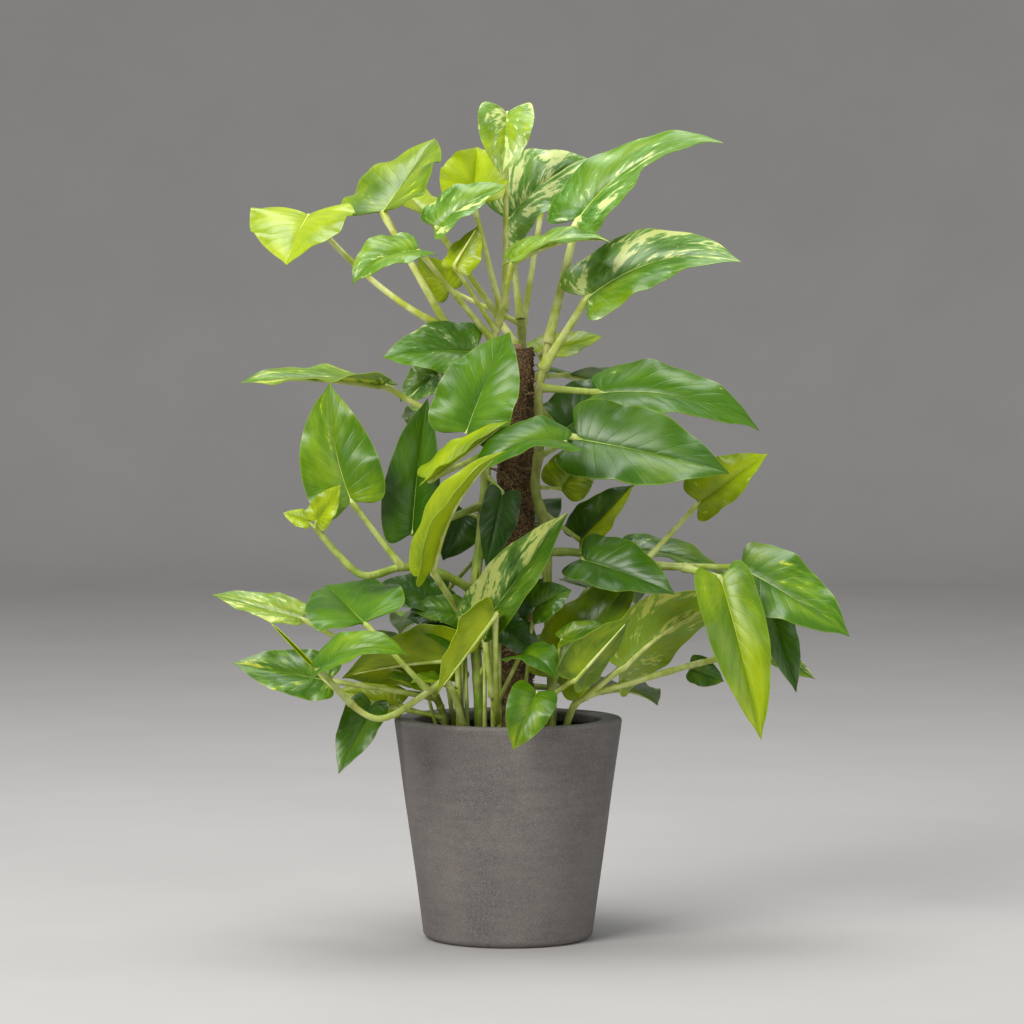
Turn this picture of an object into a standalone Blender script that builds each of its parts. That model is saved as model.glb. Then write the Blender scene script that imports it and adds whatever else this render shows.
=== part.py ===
"""A golden pothos trained on a coir pole, in a nursery pot that stands inside a stone-look planter.

Metres, +Z up. The origin is the centre of the planter's underside, and -Y is the front.
Places on the plant are written in millimetres: x and y from the planter's axis, and z above its rim.
"""

import math
from dataclasses import dataclass

import bmesh
import bpy
from mathutils import Quaternion, Vector

# The planter: a tapered shell whose rim turns inwards as a broad lip.
PLANTER_HEIGHT = 0.213
RIM_DIAMETER = 0.220
BASE_DIAMETER = 0.165
PLANTER_WALL = 0.006
PLANTER_FLOOR = 0.009
LIP_WIDTH = 0.0205
LIP_THICKNESS = 0.012
LIP_SLOPE = 0.001
RIM_ROUNDING = 0.003
BASE_ROUNDING = 0.008

# The nursery pot inside it, which passes through the lip and stands on the floor.
POT_LIP_CLEARANCE = 0.0055
POT_FOOT_CLEARANCE = 0.0155
GROW_POT_WALL = 0.0016
GROW_POT_RIM_DROP = 0.018
DRAIN_HOLE_DIAMETER = 0.012
DRAIN_HOLE_CIRCLE = 0.080
DRAIN_HOLES = 4

# The soil and the pole.
SOIL_DROP = 0.013
ROOTED_DEPTH = 0.020
POLE_DIAMETER = 0.036
POLE_CORE_DIAMETER = 0.016
POLE_HEIGHT_ABOVE_RIM = 0.356
POLE_OFFSET = 0.007
SLEEVE_BURIED = 0.025

# The plant.
STEM_DIAMETER = 0.0096
SIDE_STEM_SHARE = 0.85
PETIOLE_DIAMETER = 0.0062
LEAF_THICKNESS = 0.0008
LOBE = 0.20
MIDDLING_LEAF = 120

GAP = 0.0003
ROUND_STEPS = 32
TUBE_SIDES_LEVEL = 1
BLADE_ROWS = 6
BLADE_COLUMNS = 4
PETIOLE_STEPS = 4
PETIOLE_OVERLAP = 0.06
SHARP_ANGLE = 50
MM = 0.001

# The mouth and pole that the places of the leaves and stems are written for. A change of the mouth moves
# in full what is low and between MOUTH_REACH and MOUTH_WIDE out, and a change of the pole what is near it.
DRAWN_MOUTH_RADIUS = 0.0895
DRAWN_POLE_RADIUS = 0.018
MOUTH_REACH = 0.070
MOUTH_WIDE = 0.130
MOUTH_FAR = 0.240
MOUTH_LOW = 0.020
MOUTH_HIGH = 0.110
POLE_NEAR = 0.040
POLE_FAR = 0.090

RIM_RADIUS = RIM_DIAMETER / 2
MOUTH_RADIUS = RIM_RADIUS - LIP_WIDTH
POLE_RADIUS = POLE_DIAMETER / 2
STEM_RADIUS = STEM_DIAMETER / 2
GROW_POT_RADIUS = MOUTH_RADIUS - POT_LIP_CLEARANCE
GROW_POT_BASE_RADIUS = BASE_DIAMETER / 2 - PLANTER_WALL - POT_FOOT_CLEARANCE
GROW_POT_TOP = PLANTER_HEIGHT - GROW_POT_RIM_DROP
GROW_POT_BOTTOM = PLANTER_FLOOR + GAP
SOIL_TOP = GROW_POT_TOP - SOIL_DROP
SOIL_BOTTOM = GROW_POT_BOTTOM + GROW_POT_WALL + GAP
POLE_TOP = PLANTER_HEIGHT + POLE_HEIGHT_ABOVE_RIM

COLOURS = {
    "stone": ((0.125, 0.115, 0.108), 0.85),
    "black_plastic": ((0.015, 0.015, 0.016), 0.55),
    "soil": ((0.035, 0.022, 0.014), 0.95),
    "wood": ((0.35, 0.24, 0.13), 0.7),
    "coir": ((0.11, 0.052, 0.028), 0.95),
    "stem": ((0.33, 0.45, 0.08), 0.45),
    "dark_leaf": ((0.035, 0.17, 0.03), 0.32),
    "green_leaf": ((0.09, 0.30, 0.035), 0.35),
    "lime_leaf": ((0.32, 0.52, 0.03), 0.38),
    "marbled_leaf": ((0.30, 0.48, 0.16), 0.36),
}


@dataclass(frozen=True)
class Leaf:
    """One leaf: a blade from base to tip, and the petiole that carries it from a node of its vine."""

    name: str
    vine: str
    node: float
    base: tuple
    tip: tuple
    face: tuple
    width: float
    arch: float = 0.0
    fold: float = 12.0
    lift: float = 0.0
    sway: float = 0.0
    twist: float = 0.0
    colour: str = "green_leaf"
    joined: bool = False


# Each vine is a list of stems, and a stem is a list of its nodes. A leaf's node counts along the first
# stem, and 10 more for each further stem.
VINES = {
    "left_climber": [
        [(-26, -36, -31), (-29, -38, 40), (-33, -38, 110), (-26, -34, 177), (-22, -30, 225),
         (-20, -27, 275), (-19, -24, 320), (-17, -20, 350), (-11, -14, 374), (-3, -12, 394)],
        [(-19, -24, 322), (-34, -24, 345), (-50, -23, 364), (-66, -21, 378)],
        [(-31, -38, 122), (-48, -52, 134), (-72, -66, 145), (-100, -80, 149), (-135, -95, 142),
         (-160, -101, 163), (-180, -106, 188)],
    ],
    "right_climber": [
        [(40, -24, -31), (42, -22, 40), (38, -20, 110), (36, -18, 181), (26, -30, 223),
         (31, -26, 270), (29, -24, 311), (35, -12, 342), (39, -6, 362)],
        [(37, -18, 160), (66, -22, 160), (105, -30, 152), (142, -40, 148), (168, -48, 147)],
    ],
    "back_climber": [
        [(12, 38, -31), (14, 34, 60), (8, 31, 140), (0, 31, 220), (10, 32, 300), (14, 29, 350),
         (12, 24, 384)],
    ],
    "left_runner": [
        [(-38, -56, -31), (-46, -74, 12), (-58, -92, 42), (-74, -112, 34), (-121, -148, 12),
         (-165, -148, 45), (-181, -136, 62)],
    ],
    "right_runner": [
        [(52, -46, -31), (58, -66, 6), (72, -82, 26), (123, -70, 41), (174, -40, 53),
         (215, -10, 62), (245, 8, 85)],
    ],
    "front_shoot": [[(-10, -50, -31), (-10, -60, 0), (-14, -68, 26)]],
    "corner_shoot": [[(24, -56, -31), (28, -72, 4), (31, -88, 22)]],
    "left_shoot": [[(-56, -30, -31), (-62, -36, 6), (-74, -44, 30)]],
    "back_shoot": [[(10, 58, -31), (14, 76, 16), (20, 96, 46)]],
}

LEAVES = [
    # The crown.
    Leaf("crown_leaf", "left_climber", 9, (-1, -12, 581), (-6, -38, 519), (0, -0.95, 0.3), 60, 5, 25,
         colour="marbled_leaf"),
    Leaf("upper_left_leaf", "left_climber", 12.2, (-120, -20, 486), (-72, 55, 562), (-0.45, -0.44, 0.78),
         104,
         colour="lime_leaf"),
    Leaf("cupped_leaf", "left_climber", 8.6, (-33, -25, 493), (-30, 20, 551), (0, -0.8, 0.6), 78, 0, 32,
         colour="lime_leaf"),
    Leaf("crown_front_leaf", "left_climber", 8.4, (-68, -66, 470), (-1, -62, 509), (-0.3, -0.6, 0.75), 58, 6,
         colour="marbled_leaf"),
    Leaf("crown_low_leaf", "left_climber", 7.5, (-84, -92, 447), (-145, -125, 415), (-0.35, -0.7, 0.6), 56,
         12),
    Leaf("far_left_leaf", "left_climber", 13, (-191, -20, 483), (-208, -85, 434), (-0.15, -0.6, 0.72), 104,
         4, 10, lift=-22, colour="lime_leaf"),
    Leaf("crown_back_leaf", "back_climber", 6, (0, 60, 482), (77, 36, 541), (-0.3, -0.75, 0.6), 95, 10,
         colour="marbled_leaf"),
    Leaf("upper_right_leaf", "right_climber", 8, (66, -28, 478), (203, -60, 552), (-0.35, -0.75, 0.55), 76,
         0, 10, sway=-28, twist=-35, colour="marbled_leaf"),
    Leaf("right_marbled_leaf", "right_climber", 6.8, (76, -44, 404), (219, -76, 437), (-0.1, -0.75, 0.65),
         78,
         4, 12, sway=-22, colour="marbled_leaf"),
    Leaf("crown_right_leaf", "left_climber", 8.2, (5, -70, 438), (97, -80, 456), (0.05, -0.3, 0.95), 60, 10,
         colour="marbled_leaf"),
    Leaf("small_right_leaf", "right_climber", 7.5, (30, 40, 350), (93, 65, 369), (0.1, -0.5, 0.85), 46,
         colour="lime_leaf"),
    # The middle.
    Leaf("front_leaf", "left_climber", 5.2, (-39, -92, 277), (2, -68, 371), (-0.25, -0.92, 0.3), 84, 6, 10),
    Leaf("behind_front_leaf", "left_climber", 6.6, (-32, -34, 352), (-120, -38, 347), (-0.05, -0.8, 0.6),
         64, 6),
    Leaf("lime_blade_leaf", "left_climber", 4.6, (-74, -102, 232), (0, -120, 288), (-0.35, -0.35, 0.85), 46,
         0, 25, colour="lime_leaf"),
    Leaf("folded_lime_leaf", "left_climber", 1.6, (-71, -128, 149), (-4, -168, 262), (-0.75, -0.45, 0.45),
         58,
         14, 50, colour="lime_leaf"),
    Leaf("dark_upright_leaf", "left_climber", 3.6, (-91, -60, 180), (-77, -42, 309), (-0.25, -0.95, 0.1), 64,
         5, 28, colour="dark_leaf"),
    Leaf("left_upright_leaf", "left_climber", 23, (-147, -88, 211), (-168, -72, 323), (0, -0.97, 0.2), 77, 0,
         8, sway=-6),
    Leaf("left_level_leaf", "left_climber", 5, (-119, -32, 321), (-256, -22, 325), (0, 0.1, 0.98), 80, 4,
         8, lift=-10, twist=-35),
    Leaf("arching_leaf", "right_climber", 4.6, (54, -122, 268), (-43, -126, 222), (-0.1, -0.5, 0.85), 58,
         23),
    Leaf("big_dark_leaf", "right_climber", 5.3, (66, -72, 270), (207, -110, 239), (0.15, -0.85, 0.5), 92,
         4, 8,
         colour="dark_leaf"),
    Leaf("right_arched_leaf", "right_climber", 6.2, (88, -20, 313), (240, -50, 279), (0.15, -0.65, 0.75), 80,
         18, 8),
    Leaf("right_hidden_leaf", "right_climber", 5.7, (51, 4, 276), (128, 24, 330), (-0.4, -0.8, 0.4), 74,
         colour="dark_leaf"),
    Leaf("pole_right_leaf", "right_climber", 4, (51, 40, 219), (82, 50, 262), (0, -0.95, 0.3), 52,
         colour="lime_leaf"),
    Leaf("two_tone_leaf", "right_climber", 3.4, (70, 40, 169), (122, 30, 224), (-0.6, -0.75, 0.3), 52, 0,
         20),
    Leaf("raised_lime_leaf", "right_climber", 12.6, (184, -12, 208), (247, -40, 255), (-0.2, -0.85, 0.5), 58,
         0, 18, colour="lime_leaf"),
    Leaf("left_shaded_leaf", "left_climber", 3.3, (-41, 20, 197), (-63, 10, 151), (-0.2, -0.95, -0.1), 52,
         colour="dark_leaf"),
    Leaf("pole_front_leaf", "left_climber", 4.2, (-5, -46, 218), (-21, -52, 148), (0.3, -0.9, 0), 40,
         colour="dark_leaf"),
    # Around the pot.
    Leaf("cream_leaf", "front_shoot", 2, (-24, -90, 96), (56, -96, 202), (-0.3, -0.85, 0.25), 62, 0, 30,
         colour="marbled_leaf"),
    Leaf("olive_leaf", "front_shoot", 1, (-12, -132, 109), (-66, -146, 36), (-0.6, 0.5, 0.6), 58, 0, 20,
         lift=-34,
         colour="lime_leaf"),
    Leaf("broad_back_leaf", "corner_shoot", 1, (47, -62, 42), (124, -54, 146), (-0.45, -0.75, 0.45), 88),
    Leaf("front_small_leaf", "front_shoot", 1.5, (11, -102, 66), (46, -134, 46), (0.1, -0.55, 0.85), 46, 12),
    Leaf("rim_leaf", "corner_shoot", 1.2, (27, -126, 35), (5, -142, -18), (0, -0.93, 0.35), 46, 8),
    Leaf("front_right_leaf", "corner_shoot", 2, (61, -126, 46), (114, -119, 104), (-0.5, 0.75, 0.35), 54),
    Leaf("broad_lime_leaf", "right_runner", 2, (107, -85, 54), (215, -60, 121), (-0.45, 0.8, 0.4), 86, 12,
         colour="lime_leaf"),
    Leaf("right_green_leaf", "right_climber", 11.4, (70, -70, 156), (156, -115, 126), (0.1, -0.8, 0.6), 66,
         4,
         colour="dark_leaf"),
    Leaf("right_back_leaf", "right_climber", 12, (116, 20, 160), (216, 10, 133), (0.15, -0.35, 0.92), 58, 8),
    Leaf("far_right_leaf", "right_climber", 13, (222, -40, 147), (323, -80, 85), (0.1, -0.75, 0.65), 82, 3,
         6),
    Leaf("hanging_leaf", "right_climber", 14, (201, -78, 138), (237, -115, -11), (0.15, -0.95, 0.1), 62, 8,
         15,
         colour="lime_leaf"),
    Leaf("right_tail_leaf", "right_runner", 6, (252, -10, 108), (277, -25, 26), (0.3, -0.9, 0.3), 38),
    Leaf("left_broad_leaf", "left_runner", 3, (-134, -115, 99), (-174, -45, 131), (-0.1, -0.45, 0.9), 98),
    Leaf("far_low_left_leaf", "left_shoot", 2, (-197, -60, 100), (-283, -30, 121), (-0.15, -0.5, 0.85), 42,
         colour="marbled_leaf"),
    Leaf("left_arched_leaf", "left_runner", 4.5, (-174, -168, 60), (-90, -182, 73), (0, -0.55, 0.83), 48, 18,
         colour="lime_leaf"),
    Leaf("left_marbled_leaf", "left_shoot", 1.6, (-168, -84, 42), (-261, -70, 58), (-0.1, -0.85, 0.5), 52,
         colour="marbled_leaf"),
    Leaf("left_olive_leaf", "left_shoot", 1.2, (-75, -36, 46), (-160, -8, 76), (-0.3, 0.6, 0.7), 72,
         colour="lime_leaf"),
    Leaf("left_drooping_leaf", "left_shoot", 0.9, (-130, -40, 17), (-161, -70, -47), (-0.3, -0.9, 0.3), 44,
         colour="dark_leaf"),
    # The small leaves, each joined to its vine.
    Leaf("young_leaf_1", "left_climber", 26, (-179, -108, 193), (-156, -114, 228), (-0.3, -0.9, 0.3), 30,
         joined=True),
    Leaf("young_leaf_2", "left_climber", 25.8, (-186, -102, 192), (-211, -97, 201), (0, -0.75, 0.65), 22,
         joined=True),
    Leaf("small_crown_leaf", "left_climber", 7.9, (-50, -80, 432), (-28, -70, 470), (0.6, 0.6, 0.4), 40,
         joined=True),
    Leaf("small_back_leaf", "back_climber", 5.8, (-56, 24, 412), (-88, 14, 446), (-0.3, -0.9, 0.3), 36,
         joined=True),
    Leaf("small_left_leaf", "left_climber", 6.2, (-66, -8, 333), (-104, -12, 305), (-0.3, -0.8, 0.5), 44,
         joined=True),
    Leaf("middle_shaded_leaf", "back_climber", 2.6, (-58, 26, 122), (-112, 18, 108), (-0.1, -0.8, 0.6), 46,
         joined=True),
    Leaf("middle_dark_leaf", "left_climber", 1.3, (-52, -12, 104), (-98, -4, 96), (0, -0.8, 0.6), 46,
         joined=True),
    Leaf("centre_dark_leaf", "left_climber", 1, (4, -62, 104), (34, -66, 138), (-0.5, -0.8, 0.3), 38,
         joined=True),
    Leaf("right_edge_leaf", "right_runner", 5.2, (254, 24, 60), (299, 27, 35), (0.1, -0.8, 0.6), 24,
         joined=True),
    Leaf("right_low_leaf", "right_runner", 4.2, (176, 0, 47), (209, 8, 34), (0.1, -0.9, 0.4), 32,
         joined=True),
    Leaf("low_left_lime_leaf", "left_shoot", 0.8, (-104, -10, 12), (-166, 2, 26), (-0.1, -0.8, 0.6), 40,
         joined=True),
    # The back of the plant, each joined to its vine.
    Leaf("back_leaf_1", "back_climber", 4.5, (60, 70, 330), (110, 150, 300), (0.3, 0.5, 0.8), 85, 8,
         joined=True),
    Leaf("back_leaf_2", "back_climber", 4, (-50, 70, 290), (-90, 160, 270), (-0.3, 0.5, 0.8), 85, 8,
         joined=True),
    Leaf("back_leaf_3", "back_climber", 3, (10, 80, 200), (20, 175, 150), (0, 0.6, 0.8), 85, 8, joined=True),
    Leaf("back_leaf_4", "back_shoot", 2, (80, 80, 120), (130, 160, 100), (0.3, 0.4, 0.8), 80, 8,
         joined=True),
    Leaf("back_leaf_5", "back_shoot", 2, (-60, 80, 90), (-110, 160, 70), (-0.3, 0.4, 0.8), 80, 8,
         joined=True),
    Leaf("back_leaf_6", "back_shoot", 2, (0, 120, 60), (10, 200, 20), (0, 0.5, 0.8), 75, 8, joined=True),
    Leaf("back_leaf_7", "back_climber", 5.5, (34, 100, 500), (60, 175, 515), (0.1, 0.25, 0.97), 72, 8,
         joined=True),
    Leaf("back_leaf_8", "back_climber", 5, (-80, 85, 488), (-130, 150, 520), (-0.1, 0.3, 0.9), 72, 8,
         joined=True),
    Leaf("back_leaf_9", "back_shoot", 1.2, (90, 60, 20), (150, 130, 0), (0.3, 0.3, 0.9), 70, 8, joined=True),
]


def new_collection(name):
    """A collection linked to the scene."""
    collection = bpy.data.collections.new(name)
    bpy.context.scene.collection.children.link(collection)
    return collection


def new_material(name, colour, roughness):
    """A Principled material of one colour."""
    material = bpy.data.materials.new(name)
    material.use_nodes = True
    shader = material.node_tree.nodes["Principled BSDF"]
    shader.inputs["Base Color"].default_value = (*colour, 1)
    shader.inputs["Roughness"].default_value = roughness
    material.diffuse_color = (*colour, 1)
    return material


def new_object(name, data, collection, material=None):
    """An object with this mesh or curve in this collection."""
    thing = bpy.data.objects.new(name, data)
    collection.objects.link(thing)
    if material:
        data.materials.append(material)
    return thing


def as_helper(thing):
    """Marks a cutter or a joined piece, which is not a part of its own."""
    thing.hide_render = True
    thing.display_type = "WIRE"
    return thing


def shade_round(mesh):
    """Shades a mesh smooth, but keeps its hard corners."""
    mesh.shade_smooth()
    mesh.set_sharp_from_angle(angle=math.radians(SHARP_ANGLE))


def turned(name, profile, collection, material, steps=ROUND_STEPS):
    """A solid of revolution about Z from (radius, height) points that run down its outer side."""
    mesh = bpy.data.meshes.new(name)
    edges = [(i, i + 1) for i in range(len(profile) - 1)]
    mesh.from_pydata([(r, 0, z) for r, z in profile], edges, [])
    thing = new_object(name, mesh, collection, material)
    screw = thing.modifiers.new("Turn", "SCREW")
    screw.axis = "Z"
    screw.steps = screw.render_steps = steps
    screw.use_merge_vertices = True
    screw.merge_threshold = 0.0001
    screw.use_smooth_shade = True
    return thing


def arc(centre, radius, start, end, count):
    """Points on an arc in the (radius, height) plane, between two angles in degrees."""
    angles = [math.radians(start + (end - start) * i / count) for i in range(count + 1)]
    return [(centre[0] + radius * math.cos(a), centre[1] + radius * math.sin(a)) for a in angles]


def planter_radius(z):
    """The planter's outer radius at a height."""
    return BASE_DIAMETER / 2 + (RIM_RADIUS - BASE_DIAMETER / 2) * z / PLANTER_HEIGHT


def grow_pot_radius(z):
    """The nursery pot's outer radius at a height."""
    share = (z - GROW_POT_BOTTOM) / (GROW_POT_TOP - GROW_POT_BOTTOM)
    return GROW_POT_BASE_RADIUS + (GROW_POT_RADIUS - GROW_POT_BASE_RADIUS) * share


def make_planter(parts, material):
    """The outer pot: floor, tapered wall and the lip turned in at the rim."""
    under_lip = PLANTER_HEIGHT - LIP_THICKNESS
    profile = [(0, PLANTER_FLOOR)]
    profile += [(planter_radius(PLANTER_FLOOR) - PLANTER_WALL, PLANTER_FLOOR)]
    profile += [(planter_radius(under_lip) - PLANTER_WALL, under_lip)]
    lip_round = MOUTH_RADIUS + RIM_ROUNDING
    profile += arc((lip_round, under_lip + RIM_ROUNDING), RIM_ROUNDING, 270, 180, 3)
    profile += arc((lip_round, PLANTER_HEIGHT - RIM_ROUNDING - LIP_SLOPE), RIM_ROUNDING, 180, 90, 3)
    profile += arc((RIM_RADIUS - RIM_ROUNDING, PLANTER_HEIGHT - RIM_ROUNDING), RIM_ROUNDING, 90, 0, 3)
    foot = planter_radius(0) - BASE_ROUNDING
    profile += arc((foot, BASE_ROUNDING), BASE_ROUNDING, 0, -90, 4)
    profile += [(0, 0)]
    return turned("planter", profile, parts, material)


def make_grow_pot(parts, cutters, material):
    """The thin nursery pot with drain holes in its floor."""
    inner_floor = GROW_POT_BOTTOM + GROW_POT_WALL
    bead = 2 * GROW_POT_WALL
    profile = [
        (0, inner_floor),
        (grow_pot_radius(inner_floor) - GROW_POT_WALL, inner_floor),
        (grow_pot_radius(GROW_POT_TOP) - GROW_POT_WALL, GROW_POT_TOP),
        (grow_pot_radius(GROW_POT_TOP) + bead, GROW_POT_TOP),
        (grow_pot_radius(GROW_POT_TOP) + bead, GROW_POT_TOP - bead),
        (grow_pot_radius(GROW_POT_TOP - bead), GROW_POT_TOP - bead),
        (grow_pot_radius(GROW_POT_BOTTOM), GROW_POT_BOTTOM),
        (0, GROW_POT_BOTTOM),
    ]
    pot = turned("grow_pot", profile, parts, material, 32)
    for i in range(DRAIN_HOLES):
        angle = math.tau * (i + 0.5) / DRAIN_HOLES
        place = Vector((math.cos(angle), math.sin(angle), 0)) * DRAIN_HOLE_CIRCLE / 2
        place.z = GROW_POT_BOTTOM
        reach = 4 * GROW_POT_WALL
        hole = post(f"drain_hole_{i + 1}", place, DRAIN_HOLE_DIAMETER / 2, -reach, reach, cutters, 10)
        add_boolean(pot, hole, "DIFFERENCE")
    return pot


def post(name, place, radius, low, high, collection, sides=16, material=None):
    """An upright cylinder from low to high above a place."""
    mesh = bpy.data.meshes.new(name)
    shape = bmesh.new()
    size = {"radius1": radius, "radius2": radius, "depth": high - low}
    bmesh.ops.create_cone(shape, cap_ends=True, segments=sides, **size)
    bmesh.ops.translate(shape, verts=shape.verts, vec=(0, 0, (high + low) / 2))
    shape.to_mesh(mesh)
    shape.free()
    shade_round(mesh)
    thing = new_object(name, mesh, collection, material)
    thing.location = place
    return thing if material else as_helper(thing)


def add_boolean(thing, other, operation):
    """Cuts, or joins, another mesh object."""
    modifier = thing.modifiers.new(other.name, "BOOLEAN")
    modifier.operation = operation
    modifier.object = other


def share_between(value, none, full):
    """0 at one value, 1 at the other, and in proportion between them."""
    return min(1.0, max(0.0, (value - none) / (full - none)))


def settled(point):
    """A drawn place moved with the planter's mouth and the pole, so that both can change size."""
    x, y, z = point
    low = share_between(z, MOUTH_HIGH, MOUTH_LOW)
    out = math.hypot(x, y)
    if out > 0:
        hold = min(out / MOUTH_REACH, share_between(out, MOUTH_FAR, MOUTH_WIDE))
        shift = (MOUTH_RADIUS - DRAWN_MOUTH_RADIUS) * low * min(1.0, hold)
        x, y = x * (1 + shift / out), y * (1 + shift / out)
    dx = x - POLE_OFFSET
    away = math.hypot(dx, y)
    if away > 0:
        push = (POLE_RADIUS - DRAWN_POLE_RADIUS) * share_between(away, POLE_FAR, POLE_NEAR)
        dx, y = dx * (1 + push / away), y * (1 + push / away)
    return Vector((dx + POLE_OFFSET, y, z + PLANTER_HEIGHT))


def metres(point):
    """A place in millimetres as a vector in metres."""
    return Vector(point) * MM


def along(nodes, at):
    """The point at a fractional node number on the smooth curve through a stem's nodes."""
    last = len(nodes) - 1
    i = min(int(at), last - 1)
    t = at - i
    a, b, c, d = (metres(nodes[min(max(k, 0), last)]) for k in (i - 1, i, i + 1, i + 2))
    squared, cubed = 2 * a - 5 * b + 4 * c - d, 3 * b - a - 3 * c + d
    return 0.5 * (2 * b + (c - a) * t + squared * t * t + cubed * t ** 3)


def stem_route(nodes, rooted):
    """The points of a stem; a rooted one goes straight down into the soil from its first node."""
    steps = 2 * (len(nodes) - 1)
    route = [settled(along(nodes, i / 2)) for i in range(steps + 1)]
    if rooted:
        route[0].z = SOIL_TOP + STEM_DIAMETER
        route.insert(0, Vector((route[0].x, route[0].y, SOIL_TOP - ROOTED_DEPTH)))
    return route


def tube(name, route, radius, collection):
    """A closed mesh tube along a route."""
    curve = bpy.data.curves.new(name, "CURVE")
    curve.dimensions = "3D"
    curve.bevel_depth = radius
    curve.bevel_resolution = TUBE_SIDES_LEVEL
    curve.use_fill_caps = True
    spline = curve.splines.new("POLY")
    spline.points.add(len(route) - 1)
    for point, place in zip(spline.points, route):
        point.co = (*place, 1)
    drawn = bpy.data.objects.new(name + "_curve", curve)
    bpy.context.scene.collection.objects.link(drawn)
    graph = bpy.context.evaluated_depsgraph_get()
    mesh = bpy.data.meshes.new_from_object(drawn.evaluated_get(graph))
    mesh.name = name
    bpy.data.objects.remove(drawn)
    shape = bmesh.new()
    shape.from_mesh(mesh)
    bmesh.ops.remove_doubles(shape, verts=shape.verts, dist=0.00005)
    shape.to_mesh(mesh)
    shape.free()
    shade_round(mesh)
    return as_helper(new_object(name, mesh, collection))


def midrib(leaf, t):
    """A point of the midrib, 0 at the petiole and 1 at the tip. Below 0 it runs straight on backwards."""
    base, tip = metres(leaf.base), metres(leaf.tip)
    facing = Vector(leaf.face).normalized()
    side = (tip - base).cross(facing).normalized()
    middle = (base + tip) / 2 + facing * leaf.arch * MM + side * leaf.sway * MM
    control = 2 * middle - (base + tip) / 2
    if t < 0:
        return base + 2 * t * (control - base)
    return base * (1 - t) ** 2 + control * 2 * t * (1 - t) + tip * t * t


def outline(s):
    """A heart-shaped blade's edge at s, from the petiole round the lobe to the tip: (along, across)."""
    forward = 0.75 - math.cos(math.pi * s) / 4 - math.cos(math.pi * s / 2) / 2
    forward -= LOBE * math.sin(2 * math.pi * s) * (1 - s) ** 2
    across = math.sin(math.pi * s ** 0.75) * (1 - 0.2 * s ** 3)
    return forward, across


def blade_point(leaf, across, s):
    """A point of the blade: across is -1 to 1 between its edges, and s follows a side vein."""
    forward, reach = outline(s)
    rib = s ** 2.2
    u = abs(across)
    t = rib + (forward - rib) * u
    offset = across * reach * leaf.width / 2 * MM
    step = 0.01
    direction = (midrib(leaf, t + step) - midrib(leaf, t - step)).normalized()
    side = direction.cross(Vector(leaf.face)).normalized()
    side = Quaternion(direction, math.radians(leaf.twist) * max(0.0, t)) @ side
    up = side.cross(direction)
    fold = math.radians(leaf.fold)
    return midrib(leaf, t) + side * offset * math.cos(fold) + up * abs(offset) * math.sin(fold)


def make_blade(leaf, collection, material=None):
    """The blade as a thin shell, from a grid laid along its side veins."""
    mesh = bpy.data.meshes.new(leaf.name)
    shape = bmesh.new()
    bmesh.ops.create_grid(shape, x_segments=BLADE_COLUMNS, y_segments=BLADE_ROWS, size=1)
    for vert in shape.verts:
        vert.co = settled(blade_point(leaf, vert.co.x, (vert.co.y + 1) / 2))
    bmesh.ops.remove_doubles(shape, verts=shape.verts, dist=0.0001)
    shape.to_mesh(mesh)
    shape.free()
    shade_round(mesh)
    blade = new_object(leaf.name, mesh, collection, material)
    solidify = blade.modifiers.new("Thickness", "SOLIDIFY")
    solidify.thickness = LEAF_THICKNESS
    solidify.offset = 0
    return blade


def petiole_route(leaf):
    """The points of the leaf stalk, from the middle of the vine into the blade's base."""
    stem, at = VINES[leaf.vine][int(leaf.node // 10)], leaf.node % 10
    start = along(stem, at)
    base = metres(leaf.base)
    bend = (start + base) / 2 + Vector((0, 0, leaf.lift * MM))
    shares = [i / PETIOLE_STEPS for i in range(PETIOLE_STEPS + 1)]
    route = [start * (1 - t) ** 2 + bend * 2 * t * (1 - t) + base * t * t for t in shares]
    route.append(midrib(leaf, PETIOLE_OVERLAP))
    return [settled(point) for point in route]


def petiole_radius(leaf):
    """A longer blade has a stouter stalk."""
    length = (Vector(leaf.tip) - Vector(leaf.base)).length
    return PETIOLE_DIAMETER / 2 * math.sqrt(length / MIDDLING_LEAF)


def make_vine(name, parts, helpers, materials):
    """A vine: its first stem with its side stems, and any leaves joined to it."""
    stems = VINES[name]
    vine = tube(name, stem_route(stems[0], True), STEM_RADIUS, parts)
    vine.hide_render = False
    vine.display_type = "TEXTURED"
    vine.data.materials.append(materials["stem"])
    for i, nodes in enumerate(stems[1:], 2):
        side_route = stem_route(nodes, False)
        side_stem = tube(f"{name}_stem_{i}", side_route, STEM_RADIUS * SIDE_STEM_SHARE, helpers)
        add_boolean(vine, side_stem, "UNION")
    for leaf in LEAVES:
        if leaf.vine == name and leaf.joined:
            stalk = tube(leaf.name + "_stalk", petiole_route(leaf), petiole_radius(leaf), helpers)
            add_boolean(vine, stalk, "UNION")
            add_boolean(vine, as_helper(make_blade(leaf, helpers)), "UNION")
    return vine


def make_leaf(leaf, parts, helpers, clearances, materials):
    """A leaf with its stalk, cut clear of the vine that it grows from."""
    blade = make_blade(leaf, parts, materials[leaf.colour])
    stalk = tube(leaf.name + "_stalk", petiole_route(leaf), petiole_radius(leaf), helpers)
    add_boolean(blade, stalk, "UNION")
    add_boolean(blade, clearances[leaf.vine, int(leaf.node // 10)], "DIFFERENCE")
    return blade


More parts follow.
